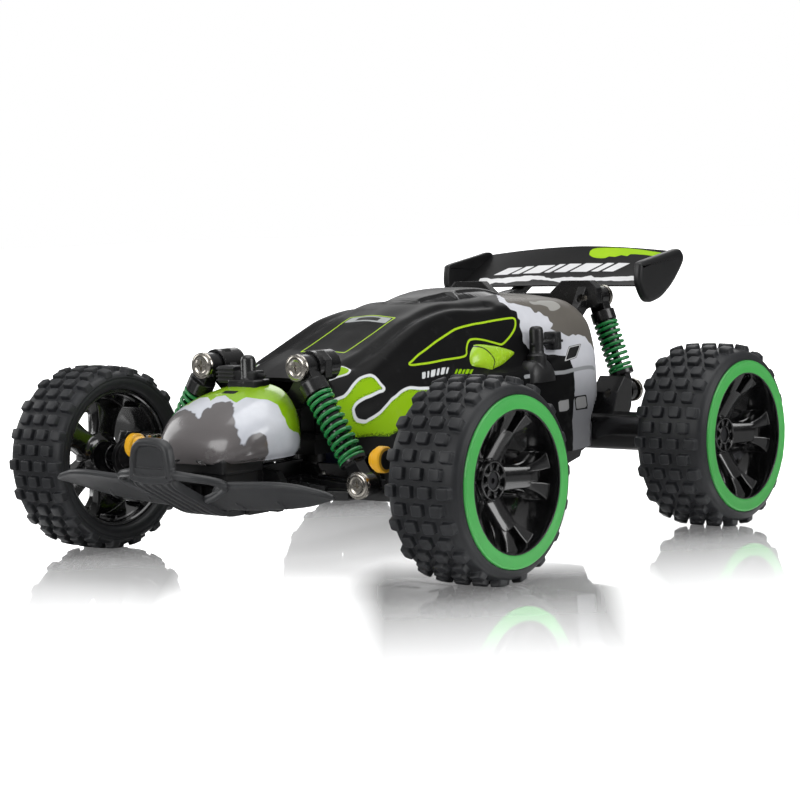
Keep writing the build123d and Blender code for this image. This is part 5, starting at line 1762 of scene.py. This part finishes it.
def screw_face(cx, cz, turn):
    """Domed head facing the front, with a cross recess turned by `turn`."""
    radii = np.concatenate([np.linspace(0, 2.6, 34)[1:], np.linspace(2.7, 4.75, 16)])
    n = 120
    angles = np.linspace(0, 2 * math.pi, n, endpoint=False)
    px, pz = np.outer(radii, np.cos(angles)).ravel(), np.outer(radii, np.sin(angles)).ravel()
    c, s = math.cos(turn), math.sin(turn)
    turned = np.stack([px * c + pz * s, -px * s + pz * c], axis=1)
    other_arm = [(y, x) for x, y in CROSS_ARM][::-1]
    cut = np.maximum(depth_in(CROSS_ARM, turned), depth_in(other_arm, turned))
    height = np.repeat(np.interp(radii, *zip(*SCREW_DOME)), n)
    height = height - CROSS_DEPTH * np.clip(cut / 0.22 + 0.1, 0, 1)
    verts = np.concatenate([
        [(cx, SCREW_Y - (SCREW_DOME[0][1] - CROSS_DEPTH), cz)],
        np.stack([cx + px, SCREW_Y - height, cz + pz], axis=1),
        [(cx, SCREW_Y + 0.05, cz)],
    ])
    faces = [(0, 1 + k, 1 + (k + 1) % n) for k in range(n)]
    for ring in range(len(radii) - 1):
        a, b = 1 + ring * n, 1 + (ring + 1) * n
        for k in range(n):
            j = (k + 1) % n
            faces.append((a + k, b + k, b + j, a + j))
    rim_start, back = 1 + (len(radii) - 1) * n, len(verts) - 1
    faces += [(rim_start + (k + 1) % n, rim_start + k, back) for k in range(n)]
    return verts, faces


def front_hardware():
    for side, s in SIDES:
        # end, shock mount it covers, turn of the cross, body it rides on
        for end, at, turn, body in (
            ("top", FRONT_SHOCK_TOP, 0.35 + 0.5 * s, "chassis"),
            ("low", FRONT_SHOCK_LOW, 0.9 - 0.4 * s, f"front_arm_{side}"),
        ):
            add_mesh(
                f"screw_face_{end}_{side}", screw_face(s * at[0], at[2], turn), LOOKS["screw"],
                body, sharp=32,
            )
        barrels = [
            tube([(s * x, HOUSING_Y, HOUSING_Z) for x in xs], radii, 40) for xs, radii in HOUSING
        ]
        add_mesh(
            f"kingpin_housing_{side}", joined(barrels), LOOKS["yellow"], f"knuckle_{side}",
        )


# ---------------------------------------------------------------- carried-over CAD pieces
SLOT_LOOKS = {
    "tyre_rubber": "tyre", "ring_green": "ring", "rim_black": "rim", "frame_black": "frame",
    "bumper_grey": "bumper", "shell_paint": "frame_gloss", "nose_paint": "bumper",
    "knuckle_yellow": "yellow", "spring_green": "spring", "steel": "steel",
    "chrome_screw": "screw", "brass": "brass", "nylon": "nylon", "battery_wrap": "battery",
    "board_green": "board",
}
DARK_STEEL = ("rear_wheel_nuts", "stub_axle")
GLOSSY = (
    "shock_body", "shock_rod", "front_shock_tower", "rear_shock_tower", "wing_mount",
    "front_arm", "axle_housing", "gearbox_cover",
)


def dress_cad():
    slots = {s["node"]: s["material_slot"] for s in frame["record"]["subparts"]}
    for node, objects in frame["nodes"].items():
        if node.startswith(DARK_STEEL):
            look = "dark_steel"
        elif node.startswith(GLOSSY):
            look = "frame_gloss"
        else:
            look = SLOT_LOOKS.get(slots.get(node, "frame_black"), "frame")
        for ob in objects if isinstance(objects, (list, tuple)) else [objects]:
            if ob.type == "MESH":
                ob.data.materials.clear()
                ob.data.materials.append(LOOKS[look])


# ---------------------------------------------------------------- camera, floor and light
# From here on lengths are metres in the world frame.
CAMERA_AT = (0.5273, -0.6488 + SHIFT_Y * MM, 0.1256)
CAMERA_YAW, CAMERA_PITCH, CAMERA_ROLL = (math.radians(a) for a in (39.2, 5.0, -2.07))
FLOOR_HALF = 7
WHEEL_X = 0.093  # middle of the contact patches
VIEW_X, VIEW_Y = 0.632, 0.775  # floor direction towards the camera is (VIEW_X, -VIEW_Y)


def add_camera():
    cam = bpy.data.cameras.new("view_camera")
    ob = bpy.data.objects.new("view_camera", cam)
    bpy.context.scene.collection.objects.link(ob)
    cam.sensor_width = 36.0
    cam.lens = 98.76807
    cam.clip_start, cam.clip_end = 0.05, 50.0
    level = math.cos(CAMERA_PITCH)
    forward = Vector(
        (-math.sin(CAMERA_YAW) * level, math.cos(CAMERA_YAW) * level, -math.sin(CAMERA_PITCH))
    )
    right = forward.cross(Vector((0, 0, 1))).normalized()
    up = right.cross(forward)
    c, s = math.cos(CAMERA_ROLL), math.sin(CAMERA_ROLL)
    axes = Matrix((right * c + up * s, -right * s + up * c, -forward)).transposed()
    ob.matrix_world = Matrix.Translation(Vector(CAMERA_AT)) @ axes.to_4x4()
    bpy.context.scene.camera = ob


def floor_polish(t, x, y):
    """Soft strips of polish that run from each contact patch towards the camera."""
    polish = None
    for _, axle_y in AXLES:
        for wheel_x in (WHEEL_X, -WHEEL_X):
            dx = t.sub(x, wheel_x)
            dy = t.sub(y, (axle_y + SHIFT_Y) * MM)
            across = t.size(t.add(t.mul(dx, VIEW_Y), t.mul(dy, VIEW_X)))
            along = t.sub(t.mul(dx, VIEW_X), t.mul(dy, VIEW_Y))
            along = t.math("MAXIMUM", along, t.mul(along, -3.0))  # shorter behind the patch
            width_fade = t.ramp(across, 0.034, 0.052, start=1.0, end=0.0)
            strip = t.mul(width_fade, t.ramp(along, 0.02, 0.26, start=0.84, end=0.0))
            polish = strip if polish is None else t.math("MAXIMUM", polish, strip)
    return polish


def floor_paint():
    """Pale glowing floor; camera, glossy and other rays see different glows."""
    t = Paint("floor_pale")
    x, y, _ = t.split(t.coords.outputs["Object"])
    beyond_x = t.math("MAXIMUM", t.sub(t.size(x), 0.060), 0.0)
    beyond_y = t.math("MAXIMUM", t.sub(t.size(y), 0.085), 0.0)
    from_car = t.math("SQRT", t.add(t.mul(beyond_x, beyond_x), t.mul(beyond_y, beyond_y)))
    polish = floor_polish(t, x, y)
    rays = t.node("ShaderNodeLightPath").outputs
    seen, shiny = rays["Is Camera Ray"], rays["Is Glossy Ray"]
    colour = t.mottle((0.80, 0.80, 0.80), (0.84, 0.84, 0.84), scale=3.0, detail=4.0)
    colour = t.mix(shiny, colour, (0.22, 0.22, 0.22))
    mat = t.finish(colour, 0.9, coat_rough=0.1, spec=0.0)
    glow_seen = t.ramp(from_car, 0.04, 0.40, start=0.72, end=1.1)
    glow_other = t.add(t.mul(t.sub(1.0, shiny), 0.28), t.mul(shiny, 0.06))
    glow = t.add(t.mul(seen, glow_seen), t.mul(t.sub(1.0, seen), glow_other))
    t.bsdf.inputs["Emission Color"].default_value = (1, 1, 1, 1)
    t.link(glow, t.bsdf.inputs["Emission Strength"])
    gloss = t.node("ShaderNodeBsdfGlossy")
    gloss.inputs["Color"].default_value = (1, 1, 1, 1)
    rough = t.ramp(t.noise(scale=6.0), 0.3, 0.7, start=0.02, end=0.04)
    t.link(rough, gloss.inputs["Roughness"])
    t.link(t.mix_shader(polish, t.bsdf.outputs[0], gloss.outputs[0]), t.out.inputs[0])
    return mat


def add_floor():
    mesh = bpy.data.meshes.new("floor")
    h = FLOOR_HALF
    mesh.from_pydata([(-h, -h, 0), (h, -h, 0), (h, h, 0), (-h, h, 0)], [], [(0, 1, 2, 3)])
    ob = bpy.data.objects.new("floor", mesh)
    bpy.context.scene.collection.objects.link(ob)
    mesh.materials.append(floor_paint())
    return ob


def add_world():
    """White for the camera, a vertical gradient in reflections, dim light elsewhere."""
    world = bpy.data.worlds.new("studio")
    bpy.context.scene.world = world
    world.use_nodes = True
    g = Graph(world.node_tree)

    def sky(colour, strength):
        n = g.node("ShaderNodeBackground")
        g.put(n.inputs[0], colour)
        g.put(n.inputs[1], strength)
        return n.outputs[0]

    height = g.split(g.coords.outputs["Generated"])[2]
    reflected = sky((1, 1, 1), g.ramp(height, 0.05, 0.8, start=0.06, end=0.42))
    diffuse = sky((0.97, 0.98, 1.0), 0.30)
    seen = sky((1, 1, 1), 1.0)
    rays = g.node("ShaderNodeLightPath").outputs
    indirect = g.mix_shader(rays["Is Glossy Ray"], diffuse, reflected)
    output = g.node("ShaderNodeOutputWorld")
    g.link(g.mix_shader(rays["Is Camera Ray"], indirect, seen), output.inputs[0])


# name, place, target, width, height, watts
SOFTBOXES = (
    ("top_box", (0.05, 0.0, 0.95), (0, 0, 0.03), 0.9, 0.9, 5.0),
    ("right_box", (1.15, 0.25, 0.55), (0.05, 0.0, 0.05), 0.7, 0.6, 5.0),
    ("front_box", (-0.25, -1.2, 0.55), (0, -0.05, 0.05), 0.8, 0.5, 5.0),
    ("back_box", (-0.6, 1.1, 0.7), (0, 0, 0.06), 0.9, 0.5, 2.2),
    ("left_box", (-1.2, -0.2, 0.5), (0, 0, 0.05), 0.6, 0.6, 3.0),
)
WALLS = (
    ("wall_back", (0, 6, 0)), ("wall_front", (0, -6, 0)),
    ("wall_left", (-6, 0, 0)), ("wall_right", (6, 0, 0)),
)
WALL_W, WALL_H = 14.0, 8.0
WALL_BRIGHTNESS = 1.02


def softbox(name, place, target, width, height, power):
    light = bpy.data.lights.new(name, "AREA")
    light.shape = "RECTANGLE"
    light.size, light.size_y = width, height
    light.energy = power
    ob = bpy.data.objects.new(name, light)
    ob.location = place
    aim = Vector(target) - Vector(place)
    ob.rotation_euler = aim.to_track_quat("-Z", "Y").to_euler()
    bpy.context.scene.collection.objects.link(ob)
    return ob


def add_lights(floor):
    for box in SOFTBOXES:
        softbox(*box)
    # white walls that light only the floor, so its polish reflects a bright room
    only_floor = bpy.data.collections.new("only_floor")
    only_floor.objects.link(floor)
    power = math.pi * WALL_W * WALL_H * WALL_BRIGHTNESS
    for name, place in WALLS:
        wall = softbox(name, place, (0, 0, 0), WALL_W, WALL_H, power)
        wall.light_linking.receiver_collection = only_floor
        wall.visible_camera = False


# ---------------------------------------------------------------- build
body_shell()
roof_scoop()
flank_pods()
clip_posts()
body_clips()
nose_cover()
wheels()
springs()
front_bumper()
bumper_mount()
wing_blade()
wing_end_plates()
front_hardware()
dress_cad()
add_camera()
floor_object = add_floor()
add_world()
add_lights(floor_object)
bpy.context.scene.view_settings.view_transform = "Standard"
